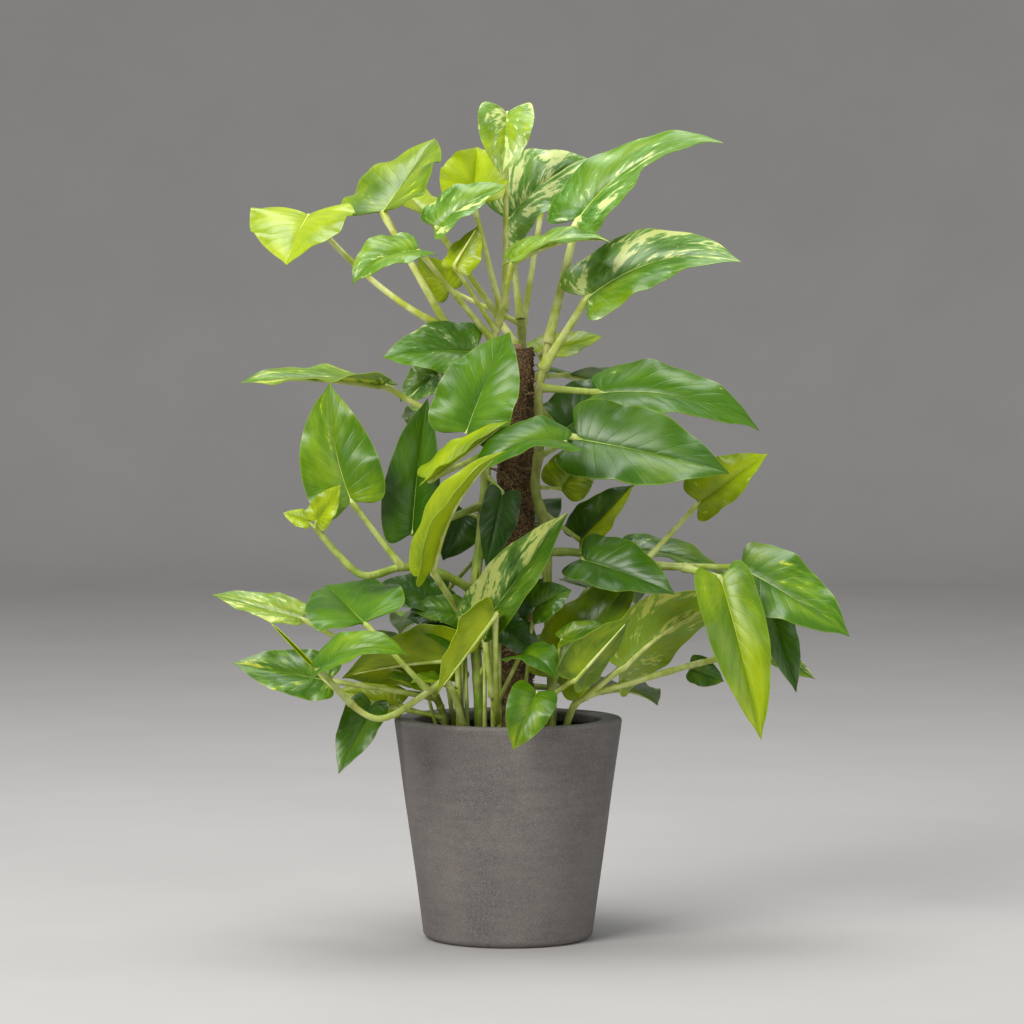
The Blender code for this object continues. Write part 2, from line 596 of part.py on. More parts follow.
def main():
    for thing in list(bpy.data.objects):
        bpy.data.objects.remove(thing)
    parts = new_collection("potted_pothos")
    helpers = new_collection("cutters")
    materials = {name: new_material(name, *look) for name, look in COLOURS.items()}
    pole = Vector((POLE_OFFSET, 0, 0))

    make_planter(parts, materials["stone"])
    make_grow_pot(parts, helpers, materials["black_plastic"])

    soil_profile = [(0, SOIL_TOP), (grow_pot_radius(SOIL_TOP) - GROW_POT_WALL - GAP, SOIL_TOP)]
    soil_profile += [(grow_pot_radius(SOIL_BOTTOM) - GROW_POT_WALL - GAP, SOIL_BOTTOM), (0, SOIL_BOTTOM)]
    soil = turned("potting_soil", soil_profile, parts, materials["soil"], 32)

    sleeve_bottom = SOIL_TOP - SLEEVE_BURIED
    core_radius = POLE_CORE_DIAMETER / 2
    core_bottom = SOIL_BOTTOM + 0.010
    post("pole_core", pole, core_radius, core_bottom, POLE_TOP + 0.004, parts, 16, materials["wood"])
    sleeve = post("coir_sleeve", pole, POLE_RADIUS, sleeve_bottom, POLE_TOP, parts, 20, materials["coir"])
    bore = post("sleeve_bore", pole, core_radius + GAP, sleeve_bottom - 0.01, POLE_TOP + 0.01, helpers, 16)
    add_boolean(sleeve, bore, "DIFFERENCE")
    socket = post("pole_socket", pole, POLE_RADIUS + GAP, sleeve_bottom - GAP, SOIL_TOP + 0.01, helpers, 20)
    add_boolean(soil, socket, "DIFFERENCE")
    shaft = post("core_socket", pole, core_radius + GAP, core_bottom - GAP, SOIL_TOP, helpers, 16)
    add_boolean(soil, shaft, "DIFFERENCE")

    clearances = {}
    for name, stems in VINES.items():
        make_vine(name, parts, helpers, materials)
        for i, nodes in enumerate(stems):
            radius = STEM_RADIUS * (SIDE_STEM_SHARE if i else 1) + GAP
            clearances[name, i] = tube(f"{name}_clearance_{i}", stem_route(nodes, not i), radius, helpers)
        root = settled(metres(stems[0][0]))
        root.z = SOIL_TOP
        hole = post(f"{name}_hole", root, STEM_RADIUS + 2 * GAP, -ROOTED_DEPTH - 2 * GAP, 0.01, helpers, 12)
        add_boolean(soil, hole, "DIFFERENCE")
    for leaf in LEAVES:
        if not leaf.joined:
            make_leaf(leaf, parts, helpers, clearances, materials)


main()
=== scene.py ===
"""A golden pothos on a coir pole, in a nursery pot inside a stone planter: the finished looks.

Leaves and stems are placed in millimetres, x and y from the planter's axis and z above its rim.
"""

import logging
import math
from dataclasses import dataclass
from enum import Enum
from typing import Any, Callable, Optional, Sequence, Union

import bmesh
import bpy
import numpy as np
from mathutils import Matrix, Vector


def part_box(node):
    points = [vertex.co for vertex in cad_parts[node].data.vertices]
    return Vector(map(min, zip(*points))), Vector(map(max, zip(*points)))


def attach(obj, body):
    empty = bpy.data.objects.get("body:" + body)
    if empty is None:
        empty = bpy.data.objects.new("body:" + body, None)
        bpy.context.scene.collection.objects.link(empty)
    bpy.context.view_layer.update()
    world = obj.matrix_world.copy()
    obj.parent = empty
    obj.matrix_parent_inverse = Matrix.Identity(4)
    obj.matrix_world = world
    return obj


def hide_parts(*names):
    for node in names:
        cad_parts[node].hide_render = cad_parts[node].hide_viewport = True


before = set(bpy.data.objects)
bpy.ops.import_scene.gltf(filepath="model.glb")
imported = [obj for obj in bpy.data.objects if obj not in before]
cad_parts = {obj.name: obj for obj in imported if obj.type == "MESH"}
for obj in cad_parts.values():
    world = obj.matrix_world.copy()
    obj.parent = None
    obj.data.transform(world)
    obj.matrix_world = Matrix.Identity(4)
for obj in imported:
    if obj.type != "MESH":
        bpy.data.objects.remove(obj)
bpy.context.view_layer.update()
LOG = logging.getLogger("pothos")

Point = tuple[float, float, float]
Colour = tuple[float, float, float]
Shades = tuple[Colour, Colour]
Section = list[tuple[float, float]]
Number = Union[int, float]
MM = 0.001
SIDE_VEINS = 11.0
VEIN_SLANT = 1.3


# ---------------------------------------------------------------------------------------------
# Shader nodes written as expressions
# ---------------------------------------------------------------------------------------------


class Wire:
    """A node's output socket that can be used in sums, products and comparisons."""

    def __init__(self, shop: "NodeShop", socket: Any) -> None:
        """Keeps the socket and the tree that it belongs to."""
        self.shop = shop
        self.socket = socket

    def _math(self, operation: str, *values: "Value") -> "Wire":
        """A Math node on these values."""
        return self.shop.add("ShaderNodeMath", {"operation": operation}, dict(enumerate(values)))[0]

    def __add__(self, other: "Value") -> "Wire":
        """The sum."""
        return self._math("ADD", self, other)

    __radd__ = __add__

    def __sub__(self, other: "Value") -> "Wire":
        """The difference."""
        return self._math("SUBTRACT", self, other)

    def __rsub__(self, other: "Value") -> "Wire":
        """The difference with this value taken away."""
        return self._math("SUBTRACT", other, self)

    def __mul__(self, other: "Value") -> "Wire":
        """The product."""
        return self._math("MULTIPLY", self, other)

    __rmul__ = __mul__

    def __abs__(self) -> "Wire":
        """The size without its sign."""
        return self._math("ABSOLUTE", self)

    def sine(self) -> "Wire":
        """The sine of this value in radians."""
        return self._math("SINE", self)

    def at_least(self, other: "Value") -> "Wire":
        """The larger value."""
        return self._math("MAXIMUM", self, other)

    def above(self, other: "Value") -> "Wire":
        """1 where this value is the larger, else 0."""
        return self._math("GREATER_THAN", self, other)


Value = Union[Wire, Number, Sequence[Number]]


class NodeShop:
    """A new material, and the nodes that are added to it."""

    def __init__(self, name: str) -> None:
        """Starts a material with one Principled shader.

        Args:
            name: the material's name.
        """
        self.material = bpy.data.materials.new(name)
        self.material.use_nodes = True
        self.tree = self.material.node_tree
        self.shader = self.tree.nodes["Principled BSDF"]

    def add(self, kind: str, settings: Optional[dict[str, Any]] = None,
            inputs: Optional[dict[Union[int, str], Value]] = None) -> list[Wire]:
        """Adds a node.

        Args:
            kind: the node's type.
            settings: its properties, which are set first. A ramp's stops are a list under "stops".
            inputs: values or wires for its sockets, by name or number.

        Returns:
            The node's enabled outputs.
        """
        node = self.tree.nodes.new(kind)
        for key, value in (settings or {}).items():
            if key == "stops":
                self._set_stops(node.color_ramp, value)
            else:
                setattr(node, key, value)
        for key, value in (inputs or {}).items():
            self.feed(node.inputs[key], value)
        return [Wire(self, out) for out in node.outputs if out.enabled]

    @staticmethod
    def _set_stops(ramp: Any, stops: Sequence[tuple[float, Sequence[float]]]) -> None:
        """Gives a colour ramp its stops.

        Args:
            ramp: the colour ramp.
            stops: a place from 0 to 1 and a colour for each stop, in order.
        """
        while len(ramp.elements) > 1:
            ramp.elements.remove(ramp.elements[-1])
        ramp.elements[0].position = stops[0][0]
        ramp.elements[0].color = (*stops[0][1], 1)
        for place, colour in stops[1:]:
            ramp.elements.new(place).color = (*colour, 1)

    def feed(self, socket: Any, value: Value) -> None:
        """Sets a socket's value, or links a wire to it.

        Args:
            socket: the node's input.
            value: a number, a colour, a vector or a wire.
        """
        if isinstance(value, Wire):
            self.tree.links.new(value.socket, socket)
        elif isinstance(value, (int, float)):
            socket.default_value = value
        else:
            short = len(value) == 3 and socket.type == "RGBA"
            socket.default_value = (*value, 1) if short else tuple(value)

    def surface(self, **sockets: Value) -> bpy.types.Material:
        """Feeds the shader's sockets, whose names are written with underscores.

        Returns:
            The finished material.
        """
        for name, value in sockets.items():
            self.feed(self.shader.inputs[name.replace("_", " ")], value)
        return self.material

    def finish(self, shader: Wire) -> bpy.types.Material:
        """Sends this shader to the material's surface instead of the first one."""
        self.tree.links.new(shader.socket, self.tree.nodes["Material Output"].inputs["Surface"])
        return self.material

    def place(self, scale: Value = (1, 1, 1), turn: Value = (0, 0, 0)) -> Wire:
        """Object coordinates in metres, scaled and turned."""
        where = self.add("ShaderNodeTexCoord")[3]
        return self.add("ShaderNodeMapping", {}, {"Vector": where, "Scale": scale, "Rotation": turn})[0]

    def noise(self, where: Wire, scale: float, detail: float = 2.0, rough: float = 0.5,
              bend: float = 0.0) -> Wire:
        """Soft noise, from about 0.2 to 0.8.

        Args:
            where: the coordinates.
            scale: the number of grains in one unit.
            detail: how many finer layers it has.
            rough: how strong the finer layers are.
            bend: how far it is distorted.

        Returns:
            The noise's value.
        """
        sockets = {"Vector": where, "Scale": scale, "Detail": detail, "Roughness": rough, "Distortion": bend}
        return self.add("ShaderNodeTexNoise", {}, sockets)[0]

    def cells(self, where: Wire, scale: float) -> Wire:
        """The distance to the nearest of many scattered points."""
        return self.add("ShaderNodeTexVoronoi", {}, {"Vector": where, "Scale": scale})[0]

    def step(self, value: Wire, low: Value, high: Value) -> Wire:
        """A smooth rise from 0 to 1.

        Args:
            value: what it follows.
            low: where it leaves 0.
            high: where it reaches 1.

        Returns:
            The rise.
        """
        settings = {"interpolation_type": "SMOOTHSTEP"}
        sockets = {"Value": value, "From Min": low, "From Max": high}
        return self.add("ShaderNodeMapRange", settings, sockets)[0]

    def blend(self, share: Value, first: Value, second: Value) -> Wire:
        """Mixes two colours.

        Args:
            share: how much of the second colour shows, 0 to 1.
            first: the colour at 0.
            second: the colour at 1.

        Returns:
            The mixed colour.
        """
        node = self.tree.nodes.new("ShaderNodeMix")
        node.data_type = "RGBA"
        self.feed(node.inputs[0], share)
        self.feed(node.inputs[6], first)
        self.feed(node.inputs[7], second)
        return Wire(self, node.outputs[2])

    def attribute(self, name: str) -> list[Wire]:
        """A mesh attribute: its colour, vector, value and alpha."""
        return self.add("ShaderNodeAttribute", {"attribute_name": name})

    def split(self, vector: Wire) -> list[Wire]:
        """The three numbers of a vector."""
        return self.add("ShaderNodeSeparateXYZ", {}, {0: vector})

    def join(self, x: Value, y: Value, z: Value) -> Wire:
        """A vector of three numbers."""
        return self.add("ShaderNodeCombineXYZ", {}, {0: x, 1: y, 2: z})[0]

    def relief(self, height: Wire, depth: float, strength: float = 1.0, after: Optional[Wire] = None) -> Wire:
        """A normal that follows a height.

        Args:
            height: the height, as a share of the depth.
            depth: the depth in metres.
            strength: how much of it shows.
            after: a coarser relief's normal.

        Returns:
            The normal.
        """
        sockets: dict[Union[int, str], Value] = {"Height": height, "Distance": depth, "Strength": strength}
        if after:
            sockets["Normal"] = after
        return self.add("ShaderNodeBump", {}, sockets)[0]


# ---------------------------------------------------------------------------------------------
# Finishes
# ---------------------------------------------------------------------------------------------


class Face(Enum):
    """The two sides of a blade."""

    UPPER = "upper"
    UNDER = "under"


@dataclass(frozen=True)
class WaxyLeaf:
    """A living blade: green to lime, streaked with cream along its side veins.

    The greens darken with the blade's depth, the ribs and the washed underside turn yellow with its lime, and
    the cream and the grey green round it turn pale with its whiteness.
    """

    face: Face
    lit_through: float = 0.34
    wax: float = 0.15
    wax_blur: float = 0.28
    refraction: float = 1.46
    old_green: Shades = ((0.070, 0.205, 0.002), (0.016, 0.068, 0.003))
    fresh_green: Shades = ((0.135, 0.310, 0.003), (0.036, 0.120, 0.003))
    yellows: Shades = ((0.290, 0.420, 0.001), (0.480, 0.590, 0.004))
    grey_green: Shades = ((0.240, 0.440, 0.012), (0.210, 0.420, 0.110))
    cream: Shades = ((0.620, 0.670, 0.030), (0.730, 0.800, 0.330))
    ribs: Shades = ((0.200, 0.400, 0.030), (0.540, 0.640, 0.050))
    margin: Colour = (0.450, 0.600, 0.060)
    washed: Shades = ((0.130, 0.270, 0.020), (0.480, 0.510, 0.008))
    under_threads: Colour = (0.520, 0.580, 0.120)
    under_rib: Colour = (0.460, 0.560, 0.080)
    under_veins: Colour = (0.420, 0.500, 0.060)

    def build(self) -> bpy.types.Material:
        """Makes the material.

        It reads blade (across, along, seed) and tone (lime, marbling, depth, whiteness).

        Returns:
            The finished material of this face.
        """
        shop = NodeShop(f"{self.face.value}_leaf_wax")
        across, along, seed = shop.split(shop.attribute("blade")[1])
        tone = shop.attribute("tone")
        lime, marbling, depth = shop.split(tone[1])
        whiteness = tone[3]
        out = abs(across)
        side = across.above(0) * 7.3 + seed * 13.7

        slow = shop.noise(shop.join(out * 2.6, along * 9 - out * 1.6, side), 1.0, 3, 0.55, 0.5)
        fine = shop.noise(shop.join(out * 5.5, along * 36 - out * 5, side + 5), 1.0, 3, 0.6, 0.2)
        flecks = shop.noise(shop.join(out * 15, along * 55, side + 9), 1.0, 2, 0.6)
        cloud = shop.noise(shop.join(out * 1.3, along * 2.6, side + 3), 1.0, 2)
        threads = shop.noise(shop.join(out * 1.6, along * 150 - out * 9, side + 21), 1.0, 2, 0.6, 0.1)

        drift = shop.step(cloud * 0.6 + fine * 0.2 + threads * 0.2, 0.37, 0.63)
        deep = shop.blend(depth, *self.old_green)
        fresh = shop.blend(depth, *self.fresh_green)
        green = shop.blend(drift, deep, fresh)
        bright = shop.blend(drift, *self.yellows)
        yellow = lime + (cloud - 0.5) * 0.55 + (slow - 0.5) * 0.35
        body = shop.blend(shop.step(yellow, 0.12, 0.88), green, bright)

        patch = shop.noise(shop.join(out * 1.2, along * 3.6 - out, side + 17), 1.0, 2, 0.5, 0.6)
        streak = slow * 0.42 + fine * 0.26 + patch * 0.32
        bar = 0.700 - marbling * 0.240
        pale = shop.step(streak, bar, bar + 0.040)
        speck = shop.step(flecks, 0.77 - marbling * 0.10, 0.82 - marbling * 0.08)
        speck = speck * shop.step(marbling, 0.0, 0.10)
        sea = shop.step(streak, bar - 0.11, bar + 0.02) * shop.step(marbling, 0.1, 0.7)
        grey_green = shop.blend(whiteness, *self.grey_green)
        body = shop.blend(sea * 0.75, body, grey_green)
        cream = shop.blend(whiteness, *self.cream)
        body = shop.blend(pale.at_least(speck * 0.8), body, cream)

        rib = 1 - shop.step(out, 0.004, 0.030 - along * 0.018)
        phase = abs((along * (SIDE_VEINS * math.pi) - out * VEIN_SLANT).sine())
        vein = (1 - shop.step(phase, 0.0, 0.20)) * shop.step(out, 0.0, 0.08) * (1 - shop.step(out, 0.75, 1.0))
        rib_colour = shop.blend(lime, *self.ribs)
        body = shop.blend(rib * (0.6 - depth * 0.2), body, rib_colour)
        body = shop.blend(vein * 0.05 + shop.step(threads, 0.55, 0.72) * 0.10, body, rib_colour)
        body = shop.blend(shop.step(out, 0.965, 0.995) * 0.35, body, self.margin)

        grain = shop.noise(shop.place(), 2600, 2, 0.6)
        if self.face is Face.UNDER:
            body = shop.blend(0.5, body, shop.blend(shop.step(lime, 0.2, 0.8), *self.washed))
            body = shop.blend(shop.step(threads, 0.52, 0.66) * 0.30, body, self.under_threads)
            body = shop.blend(rib, body, self.under_rib)
            body = shop.blend(vein * 0.3, body, self.under_veins)
            shine = 0.44 + (fine - 0.5) * 0.15
            bump = shop.relief(vein * 0.6 + threads * 0.4 + grain * 0.05, 0.0006, 0.5)
        else:
            shine = 0.30 + (fine - 0.5) * 0.12 + (threads - 0.5) * 0.14
            bump = shop.relief((1 - vein) * 0.4 + phase * 0.2 + fine * 0.2 + threads * 0.35, 0.0006, 0.5)
            bump = shop.relief(grain, 0.00004, 0.5, bump)
        shop.surface(Base_Color=body, Roughness=shine, Normal=bump, IOR=self.refraction)
        if self.face is Face.UPPER:
            shop.surface(Coat_Weight=self.wax, Coat_Roughness=self.wax_blur)
        glow = shop.add("ShaderNodeBsdfTranslucent", {}, {"Color": body})[0]
        skin = Wire(shop, shop.shader.outputs[0])
        return shop.finish(shop.add("ShaderNodeMixShader", {}, {0: self.lit_through, 1: skin, 2: glow})[0])


@dataclass(frozen=True)
class GreenStalk:
    """The smooth skin of a stem or a leaf's stalk, yellower where it is young and brown at its rings."""

    name: str = "stalk_skin"
    green: Shades = ((0.090, 0.210, 0.004), (0.200, 0.320, 0.006))
    young: Shades = ((0.480, 0.540, 0.060), (0.740, 0.760, 0.300))
    streak: Colour = (0.620, 0.660, 0.180)
    bruise: Colour = (0.150, 0.105, 0.030)
    scar: Colour = (0.230, 0.150, 0.055)
    fleck: Colour = (0.240, 0.200, 0.070)

    def build(self) -> bpy.types.Material:
        """Makes the material, which reads stalk (along, ring, lime).

        Returns:
            The finished material.
        """
        shop = NodeShop(self.name)
        along, ring, lime = shop.split(shop.attribute("stalk")[1])
        streaks = shop.noise(shop.place((1, 1, 0.12)), 700, 3, 0.6)
        blotch = shop.step(shop.noise(shop.place(), 60, 2, 0.5), 0.35, 0.65)
        skin = shop.blend(lime, shop.blend(blotch, *self.green), shop.blend(blotch, *self.young))
        skin = shop.blend(shop.step(streaks, 0.52, 0.72) * 0.25, skin, self.streak)
        bruised = shop.step(shop.noise(shop.place((1, 1, 0.2)), 150, 3, 0.6), 0.54, 0.70)
        skin = shop.blend(bruised * (0.55 - lime * 0.45), skin, self.bruise)
        skin = shop.blend(ring * 0.75, skin, self.scar)
        flecks = shop.step(shop.noise(shop.place(), 330, 2), 0.68, 0.74)
        skin = shop.blend(flecks * 0.5, skin, self.fleck)
        bump = shop.relief(streaks, 0.0003, 0.5)
        return shop.surface(Base_Color=skin, Roughness=0.30 + ring * 0.3 + streaks * 0.08, Normal=bump)


@dataclass(frozen=True)
class DryRoot:
    """The brown skin of the roots that grip the pole."""

    name: str = "aerial_root_bark"
    bark: Shades = ((0.110, 0.055, 0.022), (0.330, 0.210, 0.090))

    def build(self) -> bpy.types.Material:
        """Makes the spotted bark.

        Returns:
            The finished material.
        """
        shop = NodeShop(self.name)
        spots = shop.noise(shop.place(), 420, 3, 0.6)
        bark = shop.blend(shop.step(spots, 0.35, 0.7), *self.bark)
        return shop.surface(Base_Color=bark, Roughness=0.8, Normal=shop.relief(spots, 0.0004, 0.7))


@dataclass(frozen=True)
class CastStone:
    """The planter's moulded stone mix: warm grey, matte and finely speckled."""

    rim: float
    radius: float
    name: str = "cast_stone"
    stone: Shades = ((0.078, 0.069, 0.064), (0.150, 0.134, 0.122))
    sand: Colour = (0.232, 0.212, 0.198)
    pale_grain: Colour = (0.400, 0.385, 0.368)
    dark_grain: Colour = (0.030, 0.027, 0.026)
    worn_edge: Colour = (0.230, 0.215, 0.203)
    pit_shade: Colour = (0.030, 0.028, 0.027)

    def build(self) -> bpy.types.Material:
        """Makes the stone: cloudy and brushed, with light and dark grains, pits and worn edges.

        Returns:
            The finished material.
        """
        shop = NodeShop(self.name)
        where = shop.place()
        patch = shop.noise(shop.place((1, 1, 0.7)), 11, 5, 0.65)
        brushed = shop.noise(shop.place((1, 1, 6)), 26, 3, 0.6)
        grain = shop.noise(where, 900, 3, 0.75)
        speck = shop.cells(where, 620)
        dark_speck = shop.cells(where, 410)
        pits = shop.cells(shop.place((1, 1, 1), (0.3, 0.5, 0.1)), 150)

        tone = shop.step(patch * 0.7 + brushed * 0.3, 0.32, 0.68)
        stone = shop.blend(tone, *self.stone)
        stone = shop.blend(shop.step(grain, 0.38, 0.66) * 0.55, stone, self.sand)
        light = (1 - shop.step(speck, 0.12, 0.22)) * shop.step(grain, 0.45, 0.6)
        stone = shop.blend(light * 0.85, stone, self.pale_grain)
        dark = (1 - shop.step(dark_speck, 0.10, 0.20)) * shop.step(patch, 0.4, 0.6)
        stone = shop.blend(dark * 0.8, stone, self.dark_grain)
        height = shop.split(where)[2]
        worn = shop.step(height, self.rim - 0.005, self.rim - 0.001) + (1 - shop.step(height, 0.002, 0.009))
        stone = shop.blend(worn * shop.step(grain, 0.3, 0.6) * 0.35, stone, self.worn_edge)
        pit = 1 - shop.step(pits, 0.05, 0.10)
        stone = shop.blend(pit * 0.6, stone, self.pit_shade)
        bump = shop.relief(patch + brushed * 0.3, 0.0006, 0.5)
        bump = shop.relief(grain - pit * 0.8, 0.00022, 0.6, bump)
        return shop.surface(Base_Color=stone, Roughness=0.60 + grain * 0.25, Normal=bump)


@dataclass(frozen=True)
class MouldedBlack:
    """The nursery pot's black plastic, dusty with soil."""

    name: str = "moulded_black"
    plastic: Shades = ((0.012, 0.012, 0.013), (0.060, 0.045, 0.034))

    def build(self) -> bpy.types.Material:
        """Makes the dusty black plastic.

        Returns:
            The finished material.
        """
        shop = NodeShop(self.name)
        dust = shop.noise(shop.place(), 70, 4, 0.6)
        grain = shop.noise(shop.place(), 1500, 2)
        skin = shop.blend(shop.step(dust, 0.5, 0.75) * 0.5, *self.plastic)
        bump = shop.relief(grain, 0.00006, 0.4)
        return shop.surface(Base_Color=skin, Roughness=0.42 + dust * 0.3, Normal=bump)


@dataclass(frozen=True)
class PottingMix:
    """Dark damp potting soil."""

    name: str = "potting_mix"
    earth: Shades = ((0.012, 0.008, 0.006), (0.055, 0.034, 0.020))
    pale_bit: Colour = (0.120, 0.075, 0.042)

    def build(self) -> bpy.types.Material:
        """Makes the lumpy soil with its paler bits.

        Returns:
            The finished material.
        """
        shop = NodeShop(self.name)
        lumps = shop.noise(shop.place(), 180, 4, 0.7)
        bits = shop.cells(shop.place(), 330)
        soil = shop.blend(shop.step(lumps, 0.35, 0.65), *self.earth)
        soil = shop.blend((1 - shop.step(bits, 0.15, 0.3)) * 0.5, soil, self.pale_bit)
        bump = shop.relief(lumps - bits * 0.4, 0.0018, 0.8)
        return shop.surface(Base_Color=soil, Roughness=0.92, Normal=bump)


@dataclass(frozen=True)
class CoirFibre:
    """Reddish brown coconut fibre, crumbly and matte."""

    name: str = "coir_fibre"
    husk: Shades = ((0.020, 0.011, 0.006), (0.170, 0.096, 0.040))
    clump: Colour = (0.290, 0.155, 0.070)
    crumb: Colour = (0.400, 0.260, 0.090)
    flake: Colour = (0.480, 0.320, 0.130)

    def build(self) -> bpy.types.Material:
        """Makes the fibre: dark threads with paler lumps, crumbs and flakes.

        Returns:
            The finished material.
        """
        shop = NodeShop(self.name)
        threads = shop.noise(shop.place((1, 1, 0.25)), 620, 4, 0.7, 1.5)
        lumps = shop.noise(shop.place(), 110, 3, 0.6)
        crumbs = shop.cells(shop.place(), 420)
        coir = shop.blend(shop.step(threads, 0.35, 0.65), *self.husk)
        coir = shop.blend(shop.step(lumps, 0.5, 0.7) * 0.45, coir, self.clump)
        coir = shop.blend((1 - shop.step(crumbs, 0.20, 0.36)) * 0.8, coir, self.crumb)
        flakes = shop.step(shop.noise(shop.place(), 900, 2, 0.6), 0.60, 0.70)
        coir = shop.blend(flakes * 0.6, coir, self.flake)
        bump = shop.relief(threads + lumps * 0.6 - crumbs * 0.3, 0.0016, 0.8)
        return shop.surface(Base_Color=coir, Roughness=0.95, Normal=bump)


@dataclass(frozen=True)
class SawnWood:
    """The stake's pale sawn wood."""

    name: str = "sawn_wood"
    pine: Shades = ((0.230, 0.140, 0.068), (0.420, 0.290, 0.160))

    def build(self) -> bpy.types.Material:
        """Makes the wood, its grain upright.

        Returns:
            The finished material.
        """
        shop = NodeShop(self.name)
        grain = shop.noise(shop.place((1, 1, 0.05)), 500, 4, 0.65, 0.4)
        wood = shop.blend(shop.step(grain, 0.3, 0.7), *self.pine)
        return shop.surface(Base_Color=wood, Roughness=0.72, Normal=shop.relief(grain, 0.0004, 0.6))


# ---------------------------------------------------------------------------------------------
# Making and joining meshes
# ---------------------------------------------------------------------------------------------


class Bench:
    """The operators that shape a piece, always on that piece alone."""

    @staticmethod
    def clear() -> None:
        """Goes to object mode with nothing selected."""
        if bpy.context.object and bpy.context.object.mode != "OBJECT":
            bpy.ops.object.mode_set(mode="OBJECT")
        bpy.ops.object.select_all(action="DESELECT")

    @classmethod
    def pick(cls, piece: bpy.types.Object) -> None:
        """Makes a piece the only selected object, and the active one.

        Args:
            piece: the object.
        """
        cls.clear()
        piece.select_set(True)
        bpy.context.view_layer.objects.active = piece

    @classmethod
    def grid(cls, name: str, columns: int, rows: int) -> bpy.types.Object:
        """Adds a flat sheet from -1 to 1 both ways.

        Args:
            name: the object's name.
            columns: the number of faces along x.
            rows: the number of faces along y.

        Returns:
            The sheet's object.
        """
        cls.clear()
        bpy.ops.mesh.primitive_grid_add(x_subdivisions=columns, y_subdivisions=rows, size=2)
        sheet = bpy.context.object
        sheet.name = name
        return sheet

    @classmethod
    def settle(cls, piece: bpy.types.Object) -> None:
        """Puts the object's place into its mesh and leaves it at the origin."""
        cls.pick(piece)
        bpy.ops.object.transform_apply(location=True, rotation=True, scale=True)

    @classmethod
    def finish(cls, piece: bpy.types.Object) -> None:
        """Applies every modifier in turn.

        Args:
            piece: the object.
        """
        cls.pick(piece)
        for modifier in list(piece.modifiers):
            bpy.ops.object.modifier_apply(modifier=modifier.name)

    @classmethod
    def edit_all(cls, piece: bpy.types.Object, operator: Callable[..., Any], **settings: Any) -> None:
        """Runs a mesh operator on the whole of a piece.

        Args:
            piece: the object.
            operator: the operator.
            settings: what it is given.
        """
        cls.pick(piece)
        bpy.ops.object.mode_set(mode="EDIT")
        bpy.ops.mesh.select_all(action="SELECT")
        operator(**settings)
        bpy.ops.object.mode_set(mode="OBJECT")

    @classmethod
    def weld(cls, piece: bpy.types.Object, distance: float = 0.00001) -> None:
        """Merges the points that lie within this distance of one another, in metres."""
        cls.edit_all(piece, bpy.ops.mesh.remove_doubles, threshold=distance)

    @classmethod
    def face_out(cls, piece: bpy.types.Object) -> None:
        """Turns every face of a closed shape outwards."""
        cls.edit_all(piece, bpy.ops.mesh.normals_make_consistent, inside=False)

    @classmethod
    def smooth(cls, piece: bpy.types.Object, angle: float = 50.0) -> None:
        """Shades smooth, with sharp edges past an angle in degrees."""
        cls.pick(piece)
        bpy.ops.object.shade_smooth_by_angle(angle=math.radians(angle))

    @classmethod
    def merge(cls, name: str, pieces: Sequence[bpy.types.Object]) -> bpy.types.Object:
        """Joins pieces into the first of them.

        Args:
            name: the joined piece's name.
            pieces: the objects, at least one.

        Returns:
            The joined object.
        """
        cls.clear()
        for piece in pieces:
            piece.select_set(True)
        bpy.context.view_layer.objects.active = pieces[0]
        if len(pieces) > 1:
            bpy.ops.object.join()
        pieces[0].name = name
        pieces[0].data.name = name
        return pieces[0]

    @classmethod
    def lump(cls, name: str) -> bpy.types.Object:
        """Adds an angular lump of radius 1.

        Args:
            name: the object's name.

        Returns:
            The lump's object.
        """
        cls.clear()
        bpy.ops.mesh.primitive_ico_sphere_add(subdivisions=1, radius=1)
        bpy.context.object.name = name
        return bpy.context.object

    @staticmethod
    def copy(piece: bpy.types.Object, place: Any, turn: Any, scale: Any) -> bpy.types.Object:
        """Copies a piece, with its own mesh.

        Args:
            piece: the model.
            place: the copy's place.
            turn: its turn about each axis, in radians.
            scale: its scale along each axis.

        Returns:
            The copy.
        """
        twin = piece.copy()
        twin.data = piece.data.copy()
        bpy.context.collection.objects.link(twin)
        twin.location, twin.rotation_euler, twin.scale = place, turn, scale
        return twin

    @staticmethod
    def points(piece: bpy.types.Object) -> np.ndarray:
        """Reads the places of a mesh's points.

        Args:
            piece: the object.

        Returns:
            One row for each point.
        """
        flat = np.empty(len(piece.data.vertices) * 3)
        piece.data.vertices.foreach_get("co", flat)
        return flat.reshape(-1, 3)

    @staticmethod
    def move_points(piece: bpy.types.Object, places: np.ndarray) -> None:
        """Puts the mesh's points at these places."""
        piece.data.vertices.foreach_set("co", np.ascontiguousarray(places, float).ravel())
        piece.data.update()

    @staticmethod
    def mark(piece: bpy.types.Object, name: str, values: np.ndarray) -> None:
        """Stores three or four numbers for each point of a mesh.

        Args:
            piece: the object.
            name: the attribute's name.
            values: one row for each point.
        """
        kind, key = ("FLOAT_VECTOR", "vector") if values.shape[1] == 3 else ("FLOAT_COLOR", "color")
        data = piece.data.attributes.new(name, kind, "POINT").data
        data.foreach_set(key, np.ascontiguousarray(values, float).ravel())

    @staticmethod
    def dress(piece: bpy.types.Object, *materials: bpy.types.Material) -> bpy.types.Object:
        """Gives a piece its material slots.

        Args:
            piece: the object.
            materials: one for each slot, in order.

        Returns:
            The same object.
        """
        piece.data.materials.clear()
        for material in materials:
            piece.data.materials.append(material)
        return piece


